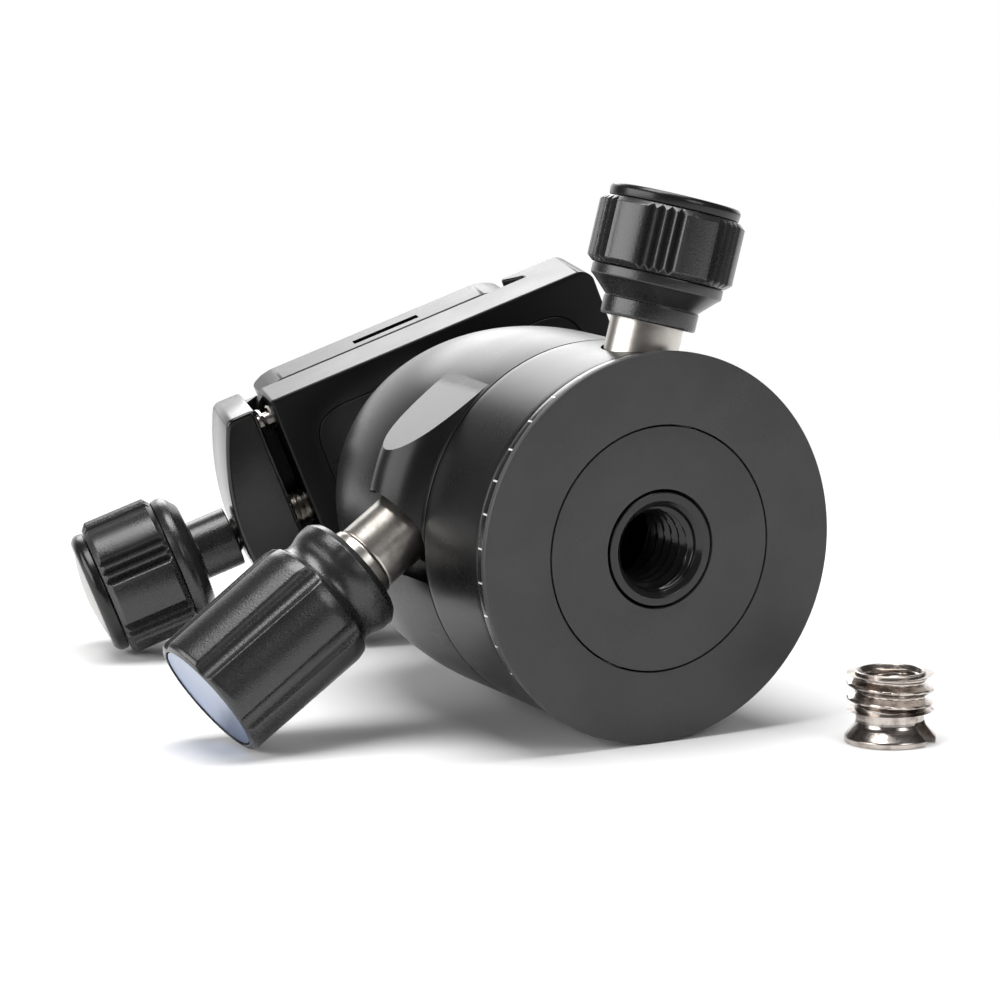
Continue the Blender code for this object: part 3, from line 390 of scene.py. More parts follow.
def silverDisc(name, seat, tint, second):
    # spun aluminium disc: fine rings, and a painted sheen that makes one side of the disc lighter than the
    # other
    finish = Finish(name, Metallic=1.0)
    spot = finish.place(seat)
    x, y, _ = finish.parts(spot)
    rings = finish.streaks(finish.fromAxis(x, y), 7000, 2)
    # painted sheen: the colour goes from the darker tint to the lighter one across the disc, with a little
    # random tone mixed in
    across = (x + y) / (9 * mm) + (finish.noise(spot, 260, 3) - 0.5) * 0.5
    colour = finish.blend(across.between(-0.9, 0.9), tint, second)
    return finish.feed(Base_Color=colour, Roughness=0.26 + rings * 0.12,
                       Normal=finish.bump(rings, 0.12, 0.00002))


def softPlastic(name, low, high, gloss, grain):
    # moulded nylon or rubber: cloudy colour and a fine moulded grain
    finish = Finish(name)
    spot = finish.place()
    cloud = finish.noise(spot, 300, 4)
    speck = finish.noise(spot, 3000, 3)
    colour = finish.blend(cloud.between(0.3, 0.7), (low, low, low * 0.95), (high, high, high * 0.94))
    return finish.feed(Base_Color=colour, Roughness=gloss + (speck - 0.5) * 0.15,
                       Normal=finish.bump(speck, grain, 0.00006))


def dialBlack(name, seat, dial):
    # satin black whose rim carries a short white mark every few degrees
    finish = satinBlack(name, gloss=0.2, sheen=0.8)
    x, y, z = finish.parts(finish.place(seat))
    step = math.radians(dial["step"])
    angle = x.maths("ARCTAN2", y, x) / step + 100
    off = (angle - angle.maths("ROUND", angle)).size() * step * dial["radius"] * mm
    half = dial["width"] * mm / 2
    mark = 1 - off.between(half * 0.8, half * 1.2)
    mark = mark * z.between(dial["low"] * mm, (dial["low"] + 0.05) * mm)
    mark = mark * (1 - z.between((dial["high"] - 0.05) * mm, dial["high"] * mm))
    plain = finish.shader.inputs["Base Color"].links[0].from_socket
    colour = finish.blend(mark, Wire(finish, plain), (0.62, 0.62, 0.60))
    return finish.feed(Base_Color=colour)


black = satinBlack("housing_black")
knobBlack = satinBlack("knob_black", tone=0.013, gloss=0.28, grain=0.5, sheen=0.7)
capBlack = satinBlack("cap_black", tone=0.007, gloss=0.24, grain=0.1)
lockSteel = turnedSteel("lock_steel", lockSeat)
panLockSteel = turnedSteel("pan_lock_steel", panLockSeat, mottle=0.35)
clampSteel = turnedSteel("clamp_steel", clampKnobSeat, mottle=0.3)
ballSteel = turnedSteel("ball_steel", clampSeat, light=(0.62, 0.61, 0.60), mottle=0.2, gloss=0.18)
headSteel = turnedSteel("head_steel", panSeat, mottle=0.3)
nylon = softPlastic("white_nylon", 0.62, 0.74, 0.5, 0.2)
print("finishes made")


# tripod side: plate, spindle face, threaded insert, dial ring
base = {"radius": 21.5, "rim": 0.9, "thickness": 2.4, "step": 19.3, "joint": 13.5, "jointGap": 0.2,
        "edge": 0.22}
baseBlack = satinBlack("base_black", tone=0.038, gloss=0.46, grain=0.5, seat=panSeat, turning=0.25)
inner = base["joint"] + base["jointGap"] / 2
plate = turned("base_plate", [
    (inner, base["thickness"], 0), (base["step"], base["thickness"], 0.1),
    (base["step"], base["rim"], 0), (base["radius"], base["rim"], base["edge"]),
    (base["radius"], 0, base["edge"]), (inner, 0, 0.08)], panSeat, around=256, ringed=True)
finished(plate, "base", baseBlack, ["base_disc"])

spindle = {"flange": 13.5 - 0.1, "neck": 9.6, "top": 11.6, "bore": 6.55}
spindleFace = turned("spindle_face", [
    (spindle["bore"], spindle["top"], 0), (spindle["neck"], spindle["top"], 0.1),
    (spindle["neck"], base["thickness"], 0), (spindle["flange"], base["thickness"], 0.1),
    (spindle["flange"], 0, 0.08), (spindle["bore"], 0, 0.15)], panSeat, around=192, ringed=True)
finished(spindleFace, "base", baseBlack, ["pan_spindle"])


def helixShift(profile, angles, thread, inward):
    # V ridges that climb one pitch in a turn; they fade in and out near both ends of the thread
    height = profile[:, 1:2]
    phase = (height / thread["pitch"] + angles[None] / fullTurn) % 1
    ridge = 1 - np.abs(2 * phase - 1)
    ridge = np.clip((ridge - 0.12) / 0.76, 0, 1)
    fade = np.clip((height - thread["low"]) / thread["fade"], 0, 1)
    fade = fade * np.clip((thread["high"] - height) / thread["fade"], 0, 1)
    on = (np.abs(profile[:, :1] - thread["radius"]) < 1e-4) & (fade > 0)
    depth = thread["depth"] * ridge * fade * on
    return -depth if inward else -thread["depth"] * on * (1 - ridge * fade)


def threaded(corners, threads, inward=False, around=96, step=0.1):
    # a turned ring or pin whose straight wall at each thread's radius carries a helix
    profile = refined(rounded(corners, 3), step)
    angles = evenAngles(around)
    radius = profile[:, :1] + sum(helixShift(profile, angles, thread, inward) for thread in threads)
    height = np.repeat(profile[:, 1:2], around, 1)
    return np.stack([radius * np.cos(angles), radius * np.sin(angles), height], -1)


insert = {"outer": 6.25, "length": 10.5, "lip": 0.6}
socketThread = {"radius": 4.76, "depth": 0.72, "pitch": 1.5875, "low": 0.75, "high": 10.3, "fade": 0.9}
grid = threaded([
    (insert["outer"], insert["length"], 0), (insert["outer"], 0, 0.12),
    (socketThread["radius"] + insert["lip"], 0, 0.1), (socketThread["radius"], insert["lip"], 0.05),
    (socketThread["radius"], insert["length"], 0)], [socketThread], inward=True)
socket = bare("socket_insert", grid, panSeat, ringed=True)
insertBlack = satinBlack("insert_black", tone=0.01, gloss=0.16, grain=0.2, seat=panSeat, turning=0.1)
finished(socket, "base", insertBlack, ["thread_insert"], crease=40)

dial = {"step": 10, "width": 0.2, "low": 1.3, "high": 2.2, "radius": 21.2, "bottom": 1.2, "top": 2.3}
dialRing = turned("dial_ring", [
    (base["step"] + 0.3, dial["top"], 0), (dial["radius"], dial["top"], 0.12),
    (dial["radius"], dial["bottom"], 0.12), (base["step"] + 0.3, dial["bottom"], 0)],
    panSeat, around=256, ringed=True)
finished(dialRing, "base", dialBlack("dial_black", panSeat, dial), ["degree_ring"])
print("tripod side done")


# housings
shell = {"radius": 21.0, "seam": 15.15, "seamGap": 0.2, "edge": 0.14, "domeStart": 26.0,
         "domeLength": 33.8, "mouth": 52.0, "cavity": 14.6, "ball": 44.65, "foot": 2.6,
         "bearing": 9.75, "bearingEnd": 11.6, "inside": 12.1, "skirt": 14.8, "ledge": 3.4}
boss = {"end": 16.6, "mouth": 5.3, "floor": 11.0, "bore": 4.5,
        "boreEnd": -8.5, "beltCentre": 19.35, "beltStation": 20.95, "beltRadius": 5.25, "bevel": 0.25}
panBore = {"screw": 4.35, "shoe": 2.55, "screwFrom": 14.1}

lowSeam = shell["seam"] - shell["seamGap"] / 2
highSeam = shell["seam"] + shell["seamGap"] / 2
panShell = turned("pan_shell", [
    (shell["inside"], lowSeam, 0), (shell["radius"], lowSeam, shell["edge"]),
    (shell["radius"], shell["foot"], 0.35), (shell["skirt"], shell["foot"], 0),
    (shell["skirt"], shell["ledge"], 0), (shell["bearing"], shell["ledge"], 0),
    (shell["bearing"], shell["bearingEnd"], 0), (shell["inside"], shell["bearingEnd"], 0)],
    panSeat, around=256, ringed=True, step=0.8)
panShell = worked(panShell, [
    (cylinderTool("screw_hole", [(0, panBore["screwFrom"]), (panBore["screw"], panBore["screwFrom"]),
                                 (panBore["screw"], 40), (0, 40)], panLockSeat), "DIFFERENCE"),
    (cylinderTool("shoe_hole", [(0, 5), (panBore["shoe"], 5), (panBore["shoe"], 15), (0, 15)],
                  panLockSeat), "DIFFERENCE")])
housingBlack = satinBlack("barrel_black", tone=0.006, gloss=0.29, grain=0.12, sheen=0.32)
finished(panShell, "housing", housingBlack, ["pan_housing"])

rise = np.linspace(shell["mouth"], shell["domeStart"], 60)
dome = shell["radius"] * np.sqrt(1 - ((rise - shell["domeStart"]) / shell["domeLength"]) ** 2)
barrel = rounded([(shell["radius"], shell["domeStart"], 0), (shell["radius"], highSeam, shell["edge"]),
                  (shell["cavity"], highSeam, 0), (shell["cavity"], shell["ball"], 0)])
climb = np.linspace(0, shell["mouth"] - shell["ball"], 12)[1:]
lip = np.sqrt(shell["cavity"] ** 2 - climb ** 2)
section = np.vstack([np.column_stack([dome, rise]), refined(barrel[1:], 0.6),
                     np.column_stack([lip, shell["ball"] + climb])])
mainShell = bare("main_shell", turnedGrid(section, evenAngles(256)), panSeat, ringed=True)

arc = np.radians(np.linspace(88, -88, 49))
nose = np.column_stack([boss["beltCentre"] + boss["beltRadius"] * np.cos(arc),
                        boss["beltStation"] + boss["beltRadius"] * np.sin(arc)])
nose = np.vstack([[(18.0, nose[0, 1])], nose, [(18.0, nose[-1, 1])]])
belt = bare("boss_belt", turnedGrid(nose, evenAngles(256)), panSeat, ringed=True)
worked(belt, [(boxTool("boss_trim", (0.5, 6.3, 0), (boss["end"], shell["radius"], 60), panSeat),
               "INTERSECT")])
mouthEnd = boss["end"] - boss["bevel"]
worked(mainShell, [
    (belt, "UNION"),
    (cylinderTool("lock_bore", [(0, boss["boreEnd"]), (boss["bore"], boss["boreEnd"]),
                                (boss["bore"], 40), (0, 40)], lockSeat), "DIFFERENCE"),
    (cylinderTool("lock_mouth", [(0, boss["floor"]), (boss["mouth"], boss["floor"]),
                                 (boss["mouth"], mouthEnd), (boss["mouth"] + 3, mouthEnd + 3),
                                 (0, mouthEnd + 3)], lockSeat), "DIFFERENCE")])


def milledFlatWithPaintedReflection(finish, seat, height, length, gloss):
    # the flat beside the boss is smoother than the turned shell round it, and its colour is a touch greyer
    # as a painted reflection
    x, y, _ = finish.parts(finish.place(seat))
    on = 1 - (y - height).size().between(0.02 * mm, 0.05 * mm)
    on = on * x.between(1.2 * mm, 2.4 * mm) * (1 - x.between(length, length + 0.2 * mm))
    turnedGloss = Wire(finish, finish.shader.inputs["Roughness"].links[0].from_socket)
    turnedTone = Wire(finish, finish.shader.inputs["Base Color"].links[0].from_socket)
    # the lower roughness on the flat is real; the grey colour is a painted reflection of the bright back
    return finish.feed(Roughness=turnedGloss + on * (gloss - turnedGloss),
                       Base_Color=finish.blend(on, turnedTone, (0.03, 0.03, 0.03)))


shellBlack = satinBlack("shell_black", tone=0.006, gloss=0.29, grain=0.12, sheen=0.32)
milledFlatWithPaintedReflection(shellBlack, panSeat, shell["radius"] * mm, boss["end"] * mm, 0.17)
finished(mainShell, "housing", shellBlack, ["main_housing"], crease=18)
print("housings done")


# knobs
def softer(first, second, blend):
    # the lower of two radii, with the corner between them rounded off
    return (first + second - np.sqrt((first - second) ** 2 + blend ** 2)) / 2


def flutedLimit(flute):
    # round flutes between broad lobes: a circle whose centre lies outside the grip scoops each of them
    def limit(profile):
        angles = flute["angles"]
        away = (angles - flute["phase"] + fullTurn / flute["count"] / 2) % (fullTurn / flute["count"])
        away = away - fullTurn / flute["count"] / 2
        reach = flute["radius"] + flute["scoop"] - flute["depth"]
        sunk = flute["scoop"] ** 2 - (reach * np.sin(away)) ** 2
        hollow = np.where(sunk > 0, reach * np.cos(away) - np.sqrt(np.abs(sunk)), flute["radius"] + 2)
        outline = np.minimum(hollow, flute["radius"] + 2)[None]
        outer = softer(profile[:, :1], outline, flute["round"])
        return np.where(profile[:, :1] > flute["least"], outer, profile[:, :1] + 0 * outline)
    return limit


def groovedAngles(groove, perGroove=8, perLobe=14):
    # angles that fall on every crest and valley
    starts, period = [], fullTurn / groove["lobes"]
    group = groove["count"] * groove["pitch"]
    for k in range(groove["lobes"]):
        first = groove["phase"] + k * period - group / 2
        starts.append(first + np.arange(groove["count"] * perGroove) * groove["pitch"] / perGroove)
        starts.append(first + group + np.arange(perLobe) * (period - group) / perLobe)
    return np.concatenate(starts)


def groovedLimit(groove, angles):
    # sharp V grooves in groups, smooth lobes between the groups
    period = fullTurn / groove["lobes"]
    group = groove["count"] * groove["pitch"]
    along = (angles - groove["phase"] + group / 2) % period
    vee = 1 - np.abs(2 * (along / groove["pitch"] % 1) - 1)
    vee = np.clip(vee * 1.25 - 0.12, 0, 1)
    depth = np.where(along < group, groove["depth"] * vee, 0)
    lobe = np.clip((along - group) / (period - group), 0, 1)
    return groove["radius"] - depth - groove["crown"] * (2 * lobe - 1) ** 2 * (along >= group)


def steelShaft(name, seat, body, finish, nodes, corners):
    # a turned pin in steel
    return finished(turned(name, corners, seat, 96), body, finish, nodes)


lockKnob = {"shoulder": 21.9, "spigot": 2.6, "screw": 3.95, "sleeve": 4.2, "sleeveEnd": 24.4,
            "neck": 23.6, "collar": 7.0, "collarEnd": 25.7, "waist": 6.55, "waistAt": 27.0,
            "gripStart": 29.0, "gripEnd": 45.4, "grip": 7.75, "end": 7.6, "cap": 6.5, "core": 33.2}
steelShaft("lock_shaft", lockSeat, "ball_lock_knob", lockSteel, ["ball_lock_screw"], [
    (0, lockKnob["core"], 0), (lockKnob["spigot"], lockKnob["core"], 0.3),
    (lockKnob["spigot"], lockKnob["shoulder"], 0), (lockKnob["screw"], lockKnob["shoulder"], 0.35),
    (lockKnob["screw"], 4.0, 0.1), (3.2, 3.0, 0.1), (0, 3.0, 0)])
sleeve = turned("lock_sleeve", [
    (lockKnob["spigot"] + 0.15, lockKnob["shoulder"] + 0.1, 0),
    (lockKnob["sleeve"], lockKnob["shoulder"] + 0.1, 0.3),
    (lockKnob["sleeve"], lockKnob["sleeveEnd"], 0), (lockKnob["spigot"] + 0.15, lockKnob["sleeveEnd"], 0)],
    lockSeat, 96, ringed=True)
finished(sleeve, "ball_lock_knob", lockSteel, ["ball_lock_sleeve"])

flute = {"count": 6, "phase": math.radians(44), "radius": lockKnob["grip"], "scoop": 1.5,
         "depth": 0.75, "round": 0.12, "least": 6.86, "angles": evenAngles(360)}
capFloor = lockKnob["gripEnd"] - 1.1
well = lockKnob["cap"] + 0.15
lockGrip = turned("lock_grip", [
    (0, capFloor, 0), (well, capFloor, 0), (well, lockKnob["gripEnd"] - 0.05, 0.06),
    (6.75, lockKnob["gripEnd"], 0.06), (7.38, lockKnob["gripEnd"] - 0.22, 0.1),
    (lockKnob["end"] - 0.02, lockKnob["gripEnd"] - 0.6, 0.25),
    (lockKnob["grip"], lockKnob["gripStart"] + 1.0, 0.4), (7.5, lockKnob["gripStart"] - 0.1, 0.22),
    (lockKnob["waist"] + 0.35, lockKnob["gripStart"] - 0.45, 0.3), (lockKnob["waist"], 27.9, 0.5),
    (lockKnob["waist"], lockKnob["waistAt"], 0.7), (lockKnob["collar"], lockKnob["collarEnd"], 0.6),
    (lockKnob["collar"], lockKnob["neck"] + 0.75, 0.1), (6.4, lockKnob["neck"], 0.1),
    (4.35, lockKnob["neck"], 0), (4.35, 24.55, 0), (2.75, 24.55, 0),
    (2.75, 33.35, 0), (0, 33.35, 0)], lockSeat, step=0.22, angles=flute["angles"],
    limit=flutedLimit(flute))
finished(lockGrip, "ball_lock_knob", knobBlack, ["ball_lock_grip"], crease=35)
blueDisc = silverDisc("blue_silver_painted_sheen", lockSeat, (0.19, 0.25, 0.40), (0.31, 0.36, 0.46))
lockDisc = turned("lock_disc", [(0, capFloor + 0.15, 0), (lockKnob["cap"], capFloor + 0.15, 0),
                                (lockKnob["cap"], lockKnob["gripEnd"] - 0.15, 0.1),
                                (0, lockKnob["gripEnd"] - 0.15, 0)], lockSeat, 128, step=0.8)
finished(lockDisc, "ball_lock_knob", blueDisc, ["ball_lock_cap"])
print("ball lock knob done")

panKnob = {"screw": 4.05, "spigot": 2.2, "collar": 5.3, "collarStart": 23.5, "collarEnd": 25.5,
           "skirt": 7.3, "skirtStart": 27.6, "gripStart": 28.8, "gripEnd": 36.2, "cap": 7.3,
           "capEnd": 37.6, "core": 4.4, "shoulder": 24.7}
steelShaft("pan_shaft", panLockSeat, "pan_lock_knob", panLockSteel, ["pan_lock_screw"], [
    (0, 31.65, 0), (panKnob["spigot"], 31.65, 0.2), (panKnob["spigot"], panKnob["shoulder"], 0),
    (panKnob["screw"], panKnob["shoulder"], 0.1), (panKnob["screw"], 14.4, 0.1), (0, 14.4, 0)])
panNeck = turned("pan_neck", [
    (0, 32.8, 0), (panKnob["core"], 32.8, 0), (panKnob["core"], 28.72, 0), (panKnob["skirt"], 28.72, 0.15),
    (panKnob["skirt"], panKnob["skirtStart"], 0.12), (6.9, panKnob["skirtStart"] - 0.3, 0.3),
    (panKnob["collar"] - 0.15, panKnob["collarEnd"] + 0.1, 0.12),
    (panKnob["collar"], panKnob["collarEnd"], 0.1), (panKnob["collar"], panKnob["collarStart"], 0.35),
    (4.2, panKnob["collarStart"], 0), (4.2, 24.85, 0), (2.35, 24.85, 0), (2.35, 31.8, 0), (0, 31.8, 0)],
    panLockSeat, 160)
finished(panNeck, "pan_lock_knob", knobBlack, ["pan_lock_neck"])


def groovedGrip(name, knob, groove, seat, body, node):
    # grooved sleeve: section with chamfered ends, held in by the grooves' outline
    angles = groovedAngles(groove)
    chamfer = groove["chamfer"]
    ends = knob["gripStart"], knob["gripEnd"]
    core = knob["core"] + 0.15
    grip = turned(name, [
        (0, ends[1], 0), (groove["radius"] - chamfer, ends[1], 0.12),
        (groove["radius"] + 0.02, ends[1] - chamfer * 0.9, 0.12),
        (groove["radius"] + 0.02, ends[0] + chamfer * 0.9, 0.12),
        (groove["radius"] - chamfer, ends[0], 0.12), (core, ends[0], 0), (core, ends[0] + 4.15, 0),
        (0, ends[0] + 4.15, 0)], seat, step=0.12, angles=angles,
        limit=groovedLimit(groove, angles)[None])
    return finished(grip, body, knobBlack, [node], crease=24)


panGroove = {"lobes": 6, "count": 4, "pitch": math.radians(8.0), "phase": math.radians(24),
             "radius": 8.1, "depth": 0.6, "crown": 0.08, "chamfer": 0.7}
groovedGrip("pan_grip", panKnob, panGroove, panLockSeat, "pan_lock_knob", "pan_lock_grip")
panCap = turned("pan_cap", [
    (0, 37.25, 0), (6.3, 37.25, 0.2), (6.6, panKnob["capEnd"], 0.2), (7.0, panKnob["capEnd"], 0.2),
    (panKnob["cap"], panKnob["capEnd"] - 0.45, 0.25), (panKnob["cap"] - 0.1, 36.28, 0.1), (0, 36.28, 0)],
    panLockSeat, 160)
finished(panCap, "pan_lock_knob", capBlack, ["pan_lock_cap"])
print("pan lock knob done")

clampKnob = {"tube": 3.75, "neck": 26.9, "flange": 8.0, "gripStart": 35.0,
             "gripEnd": 44.0, "cap": 7.7, "capEnd": 46.6, "disc": 6.0, "core": 4.4, "screw": 2.2,
             "rodStart": 6.5}
rodThread = {"radius": clampKnob["screw"], "depth": 0.3, "pitch": 0.7, "low": 6.6, "high": 27.5,
             "fade": 0.5}
rod = threaded([
    (0, 38.0, 0), (clampKnob["screw"], 38.0, 0.2), (clampKnob["screw"], clampKnob["rodStart"], 0.3),
    (0, clampKnob["rodStart"], 0)], [rodThread], around=48, step=0.09)
finished(bare("clamp_rod", rod, clampKnobSeat), "clamp_knob", clampSteel, ["clamp_screw"],
         crease=40)
clampNeck = turned("clamp_neck", [
    (0, 39.0, 0), (clampKnob["core"], 39.0, 0), (clampKnob["core"], 34.92, 0),
    (clampKnob["flange"] - 0.2, 34.92, 0.15), (clampKnob["flange"], 33.9, 0.3),
    (clampKnob["flange"] - 0.35, 33.2, 0.2), (6.2, 32.0, 0.4), (clampKnob["tube"], 31.9, 0.3),
    (clampKnob["tube"], clampKnob["neck"], 0.2), (2.35, clampKnob["neck"], 0), (2.35, 38.15, 0),
    (0, 38.15, 0)], clampKnobSeat, 160)
finished(clampNeck, "clamp_knob", knobBlack, ["clamp_knob_neck"])
clampGroove = {"lobes": 6, "count": 3, "pitch": math.radians(8.5), "phase": math.radians(27),
               "radius": 8.67, "depth": 0.68, "crown": 0.08, "chamfer": 0.8}
groovedGrip("clamp_grip", clampKnob, clampGroove, clampKnobSeat, "clamp_knob", "clamp_knob_grip")
discWell = clampKnob["disc"] + 0.12
clampCap = turned("clamp_cap", [
    (0, 45.2, 0), (discWell, 45.2, 0), (discWell, clampKnob["capEnd"] - 0.75, 0.1),
    (6.9, clampKnob["capEnd"] - 0.75, 0.3), (clampKnob["cap"], 45.2, 0.5),
    (clampKnob["cap"] - 0.1, 44.08, 0.2), (0, 44.08, 0)], clampKnobSeat, 160)
finished(clampCap, "clamp_knob", capBlack, ["clamp_knob_cap"])
paleDisc = silverDisc("pale_silver_painted_sheen", clampKnobSeat, (0.42, 0.41, 0.40), (0.50, 0.49, 0.48))
across = np.linspace(clampKnob["disc"], 0, 24)
bulge = clampKnob["capEnd"] - 0.8 * (across / clampKnob["disc"]) ** 2
discEdge = np.array([[0, 45.28], [clampKnob["disc"], 45.28]])
clampDisc = bare("clamp_disc", turnedGrid(np.vstack([discEdge, np.column_stack([across, bulge])]),
                                          evenAngles(128)), clampKnobSeat, ringed=False)
finished(clampDisc, "clamp_knob", paleDisc, ["clamp_knob_disc"])
print("clamp knob done")


# clamp bed, movable jaw, guide pins
def sideways(grid):
    # a slab's outline is drawn across and up, its length runs along the clamp
    return grid[..., [0, 2, 1]]


def prism(name, outline, low, high, steps=8):
    # a plain upright cutter with a rounded outline
    loop = rounded(outline, steps)
    return bare(name, np.stack([np.column_stack([loop, np.full(len(loop), z)]) for z in (low, high)]),
                clampSeat, capped=True)


def besideClamp(across, along, up, turn):
    # a seat at a point of the clamp's own frame
    offset = clampSeat["turn"] @ (np.array([across, along, up]) * mm)
    return {"at": clampSeat["at"] + offset, "turn": turn}


def pinTool(name, radius, low, high, seat, around=48):
    # a plain round cutter on the seat's axis
    return cylinderTool(name, [(0, low), (radius, low), (radius, high), (0, high)], seat, around=around)


bed = {"low": 16.6, "floor": 26.0, "top": 30.5, "left": -16.9, "right": 25.98, "half": 15.3,
       "wall": 19.3, "throat": 17.1, "flankLow": 27.1, "flankHigh": 29.3, "edge": 0.35, "corner": 2.5,
       "line": 3.8, "lineCorner": 4.5, "lineWidth": 0.11}
bedOutline = [
    (bed["left"], bed["low"], 0.45), (bed["right"], bed["low"], 0.45), (bed["right"], bed["top"], 0.6),
    (bed["throat"], bed["top"], 0.5), (bed["throat"], bed["flankHigh"], 0.3),
    (bed["wall"], bed["flankLow"], 0.2), (bed["wall"], bed["floor"], 0.1),
    (bed["left"], bed["floor"], 0.3)]
clampBed = bare("clamp_bed", sideways(slabGrid(bedOutline, -bed["half"], bed["half"], bed["edge"])),
                clampSeat, capped=True)
plan = prism("bed_plan", rectangle(bed["left"] - 9, bed["right"] + 0.05, -bed["half"] - 0.05,
                                   bed["half"] + 0.05, bed["corner"]), 0, 60)
linePath = rounded(rectangle(bed["left"] + bed["line"], bed["right"] - bed["line"],
                             -bed["half"] + bed["line"], bed["half"] - bed["line"], bed["lineCorner"]), 10)
ahead = np.roll(linePath, -1, 0) - np.roll(linePath, 1, 0)
outward = np.stack([ahead[:, 1], -ahead[:, 0]], 1) / np.linalg.norm(ahead, axis=1, keepdims=True)
side = np.array([-1.0, 0.0, 1.0, 0.0])[:, None, None] * bed["lineWidth"]
drop = np.array([0.0, 1.0, 0.0, -1.0])[:, None, None] * bed["lineWidth"]
line = np.concatenate([linePath[None] + outward[None] * side,
                       np.broadcast_to(bed["low"] + drop, (4, len(linePath), 1))], 2)
line = bare("engraved_line", line, clampSeat, ringed=True)
knobTurn = clampKnobSeat["turn"]
fixing = {"hole": 2.65, "head": 4.35, "headFrom": 23.45, "recess": 4.15, "recessEnd": 18.55}
pins = {"height": 23.05, "aside": 12.0, "radius": 0.9, "start": 11.0, "end": 21.1, "hole": 1.05,
        "holeFrom": 10.85, "jawHoleEnd": 21.25, "spring": 1.94, "springFrom": 12.9, "rodHole": 2.35}
rodSeat = besideClamp(0, 0, pins["height"], knobTurn)
pinSeats = [besideClamp(0, side * pins["aside"], pins["height"], knobTurn) for side in (1, -1)]
tools = [(plan, "INTERSECT"), (line, "DIFFERENCE"),
         (pinTool("fixing_hole", fixing["hole"], 0, 60, clampSeat), "DIFFERENCE"),
         (pinTool("fixing_counterbore", fixing["head"], fixing["headFrom"], 60, clampSeat), "DIFFERENCE"),
         (pinTool("stem_recess", fixing["recess"], 0, fixing["recessEnd"], clampSeat), "DIFFERENCE"),
         (pinTool("rod_hole", pins["rodHole"], 6.35, 60, rodSeat), "DIFFERENCE")]
for number, seat in enumerate(pinSeats, 1):
    tools += [(pinTool(f"pin_hole_{number}", pins["hole"], pins["holeFrom"], 60, seat, 32), "DIFFERENCE"),
              (pinTool(f"spring_pocket_{number}", pins["spring"], pins["springFrom"], 60, seat, 32),
               "DIFFERENCE")]
clampBlack = satinBlack("clamp_black", tone=0.0035, gloss=0.32, grain=0.2, sheen=0.2)
jawBlack = satinBlack("jaw_black", tone=0.004, gloss=0.2, grain=0.2, sheen=0.55)
worked(clampBed, tools)
finished(clampBed, "clamp", clampBlack, ["clamp_body"], crease=24)
for number, seat in enumerate(pinSeats, 1):
    guide = turned(f"guide_rod_{number}", [
        (0, pins["end"], 0), (pins["radius"], pins["end"], 0.1),
        (pins["radius"], pins["start"], 0.1), (0, pins["start"], 0)], seat, 48)
    finished(guide, "clamp", clampSteel, [f"guide_pin_{number}"])

jaw = {"face": -19.1, "low": 16.6, "top": 29.5, "half": 15.1, "width": 7.3, "endWidth": 3.6,
       "edge": 0.45, "noseHalf": 13.9, "noseTip": -17.2}
share = np.linspace(-1, 1, 41)
bow = jaw["face"] - jaw["width"] + (jaw["width"] - jaw["endWidth"]) * share ** 2
bowed = [(jaw["face"], jaw["half"], 0.5), (jaw["face"], -jaw["half"], 0.5), (bow[0], -jaw["half"], 1.1)]
bowed += [(x, y, 0.02) for x, y in zip(bow[2:-2], share[2:-2] * jaw["half"])]
bowed += [(bow[-1], jaw["half"], 1.1)]
clampJaw = bare("clamp_jaw", slabGrid(bowed, jaw["low"], jaw["top"], jaw["edge"]), clampSeat,
                capped=True)
noseOutline = [
    (jaw["face"] - 1, 27.4, 0), (jaw["face"] + 0.05, 27.4, 0), (jaw["noseTip"], bed["flankHigh"], 0.1),
    (jaw["noseTip"], jaw["top"] - 0.02, 0.1), (jaw["face"] - 1, jaw["top"] - 0.02, 0)]
nosePiece = bare("jaw_nose", sideways(slabGrid(noseOutline, -jaw["noseHalf"], jaw["noseHalf"], 0.05)),
                 clampSeat, capped=True)
tools = [(nosePiece, "UNION"), (pinTool("jaw_rod_hole", pins["rodHole"], 0, 60, rodSeat), "DIFFERENCE")]
tools += [(pinTool(f"jaw_pin_hole_{number}", pins["hole"], 10, pins["jawHoleEnd"], seat, 32), "DIFFERENCE")
          for number, seat in enumerate(pinSeats, 1)]
worked(clampJaw, tools)
finished(clampJaw, "jaw", jawBlack, ["movable_jaw"], crease=24)
print("clamp bed and jaw done")


# release plate, pads, camera screw
release = {"low": 26.3, "foot": 27.1, "shoulder": 29.3, "top": 34.5, "half": 15.3, "wide": 19.0,
           "throat": 16.8, "edge": 0.4, "corner": 6.5, "slot": (-3.4, 5.4, 28.4, 30.4), "slotDepth": 2.0,
           "screwWell": 6.55, "wellEnd": 29.65, "screwHole": 3.3}
plateOutline = [
    (-release["wide"], release["low"], 0.25), (release["wide"], release["low"], 0.25),
    (release["wide"], release["foot"], 0.25), (release["throat"], release["shoulder"], 0.4),
    (release["throat"], release["top"], 1.0), (-release["throat"], release["top"], 1.0),
    (-release["throat"], release["shoulder"], 0.4), (-release["wide"], release["foot"], 0.25)]
releasePlate = bare("release_plate", sideways(slabGrid(plateOutline, -release["half"], release["half"],
                                                       release["edge"])), clampSeat, capped=True)
plan = prism("plate_plan", rectangle(-release["wide"] - 0.05, release["wide"] + 0.05,
                                     -release["half"] - 0.05, release["half"] + 0.05,
                                     release["corner"]), 0, 60)
left, right, low, high = release["slot"]
slotTool = boxTool("plate_slot", (left, -40, low), (right, release["slotDepth"] - release["half"], high),
                   clampSeat)
worked(releasePlate, [(plan, "INTERSECT"), (slotTool, "DIFFERENCE"),
                      (pinTool("screw_well", release["screwWell"], 0, release["wellEnd"], clampSeat, 96),
                       "DIFFERENCE"),
                      (pinTool("camera_hole", release["screwHole"], 0, 60, clampSeat, 96), "DIFFERENCE")])
finished(releasePlate, "plate", clampBlack, ["qr_plate"], crease=24)


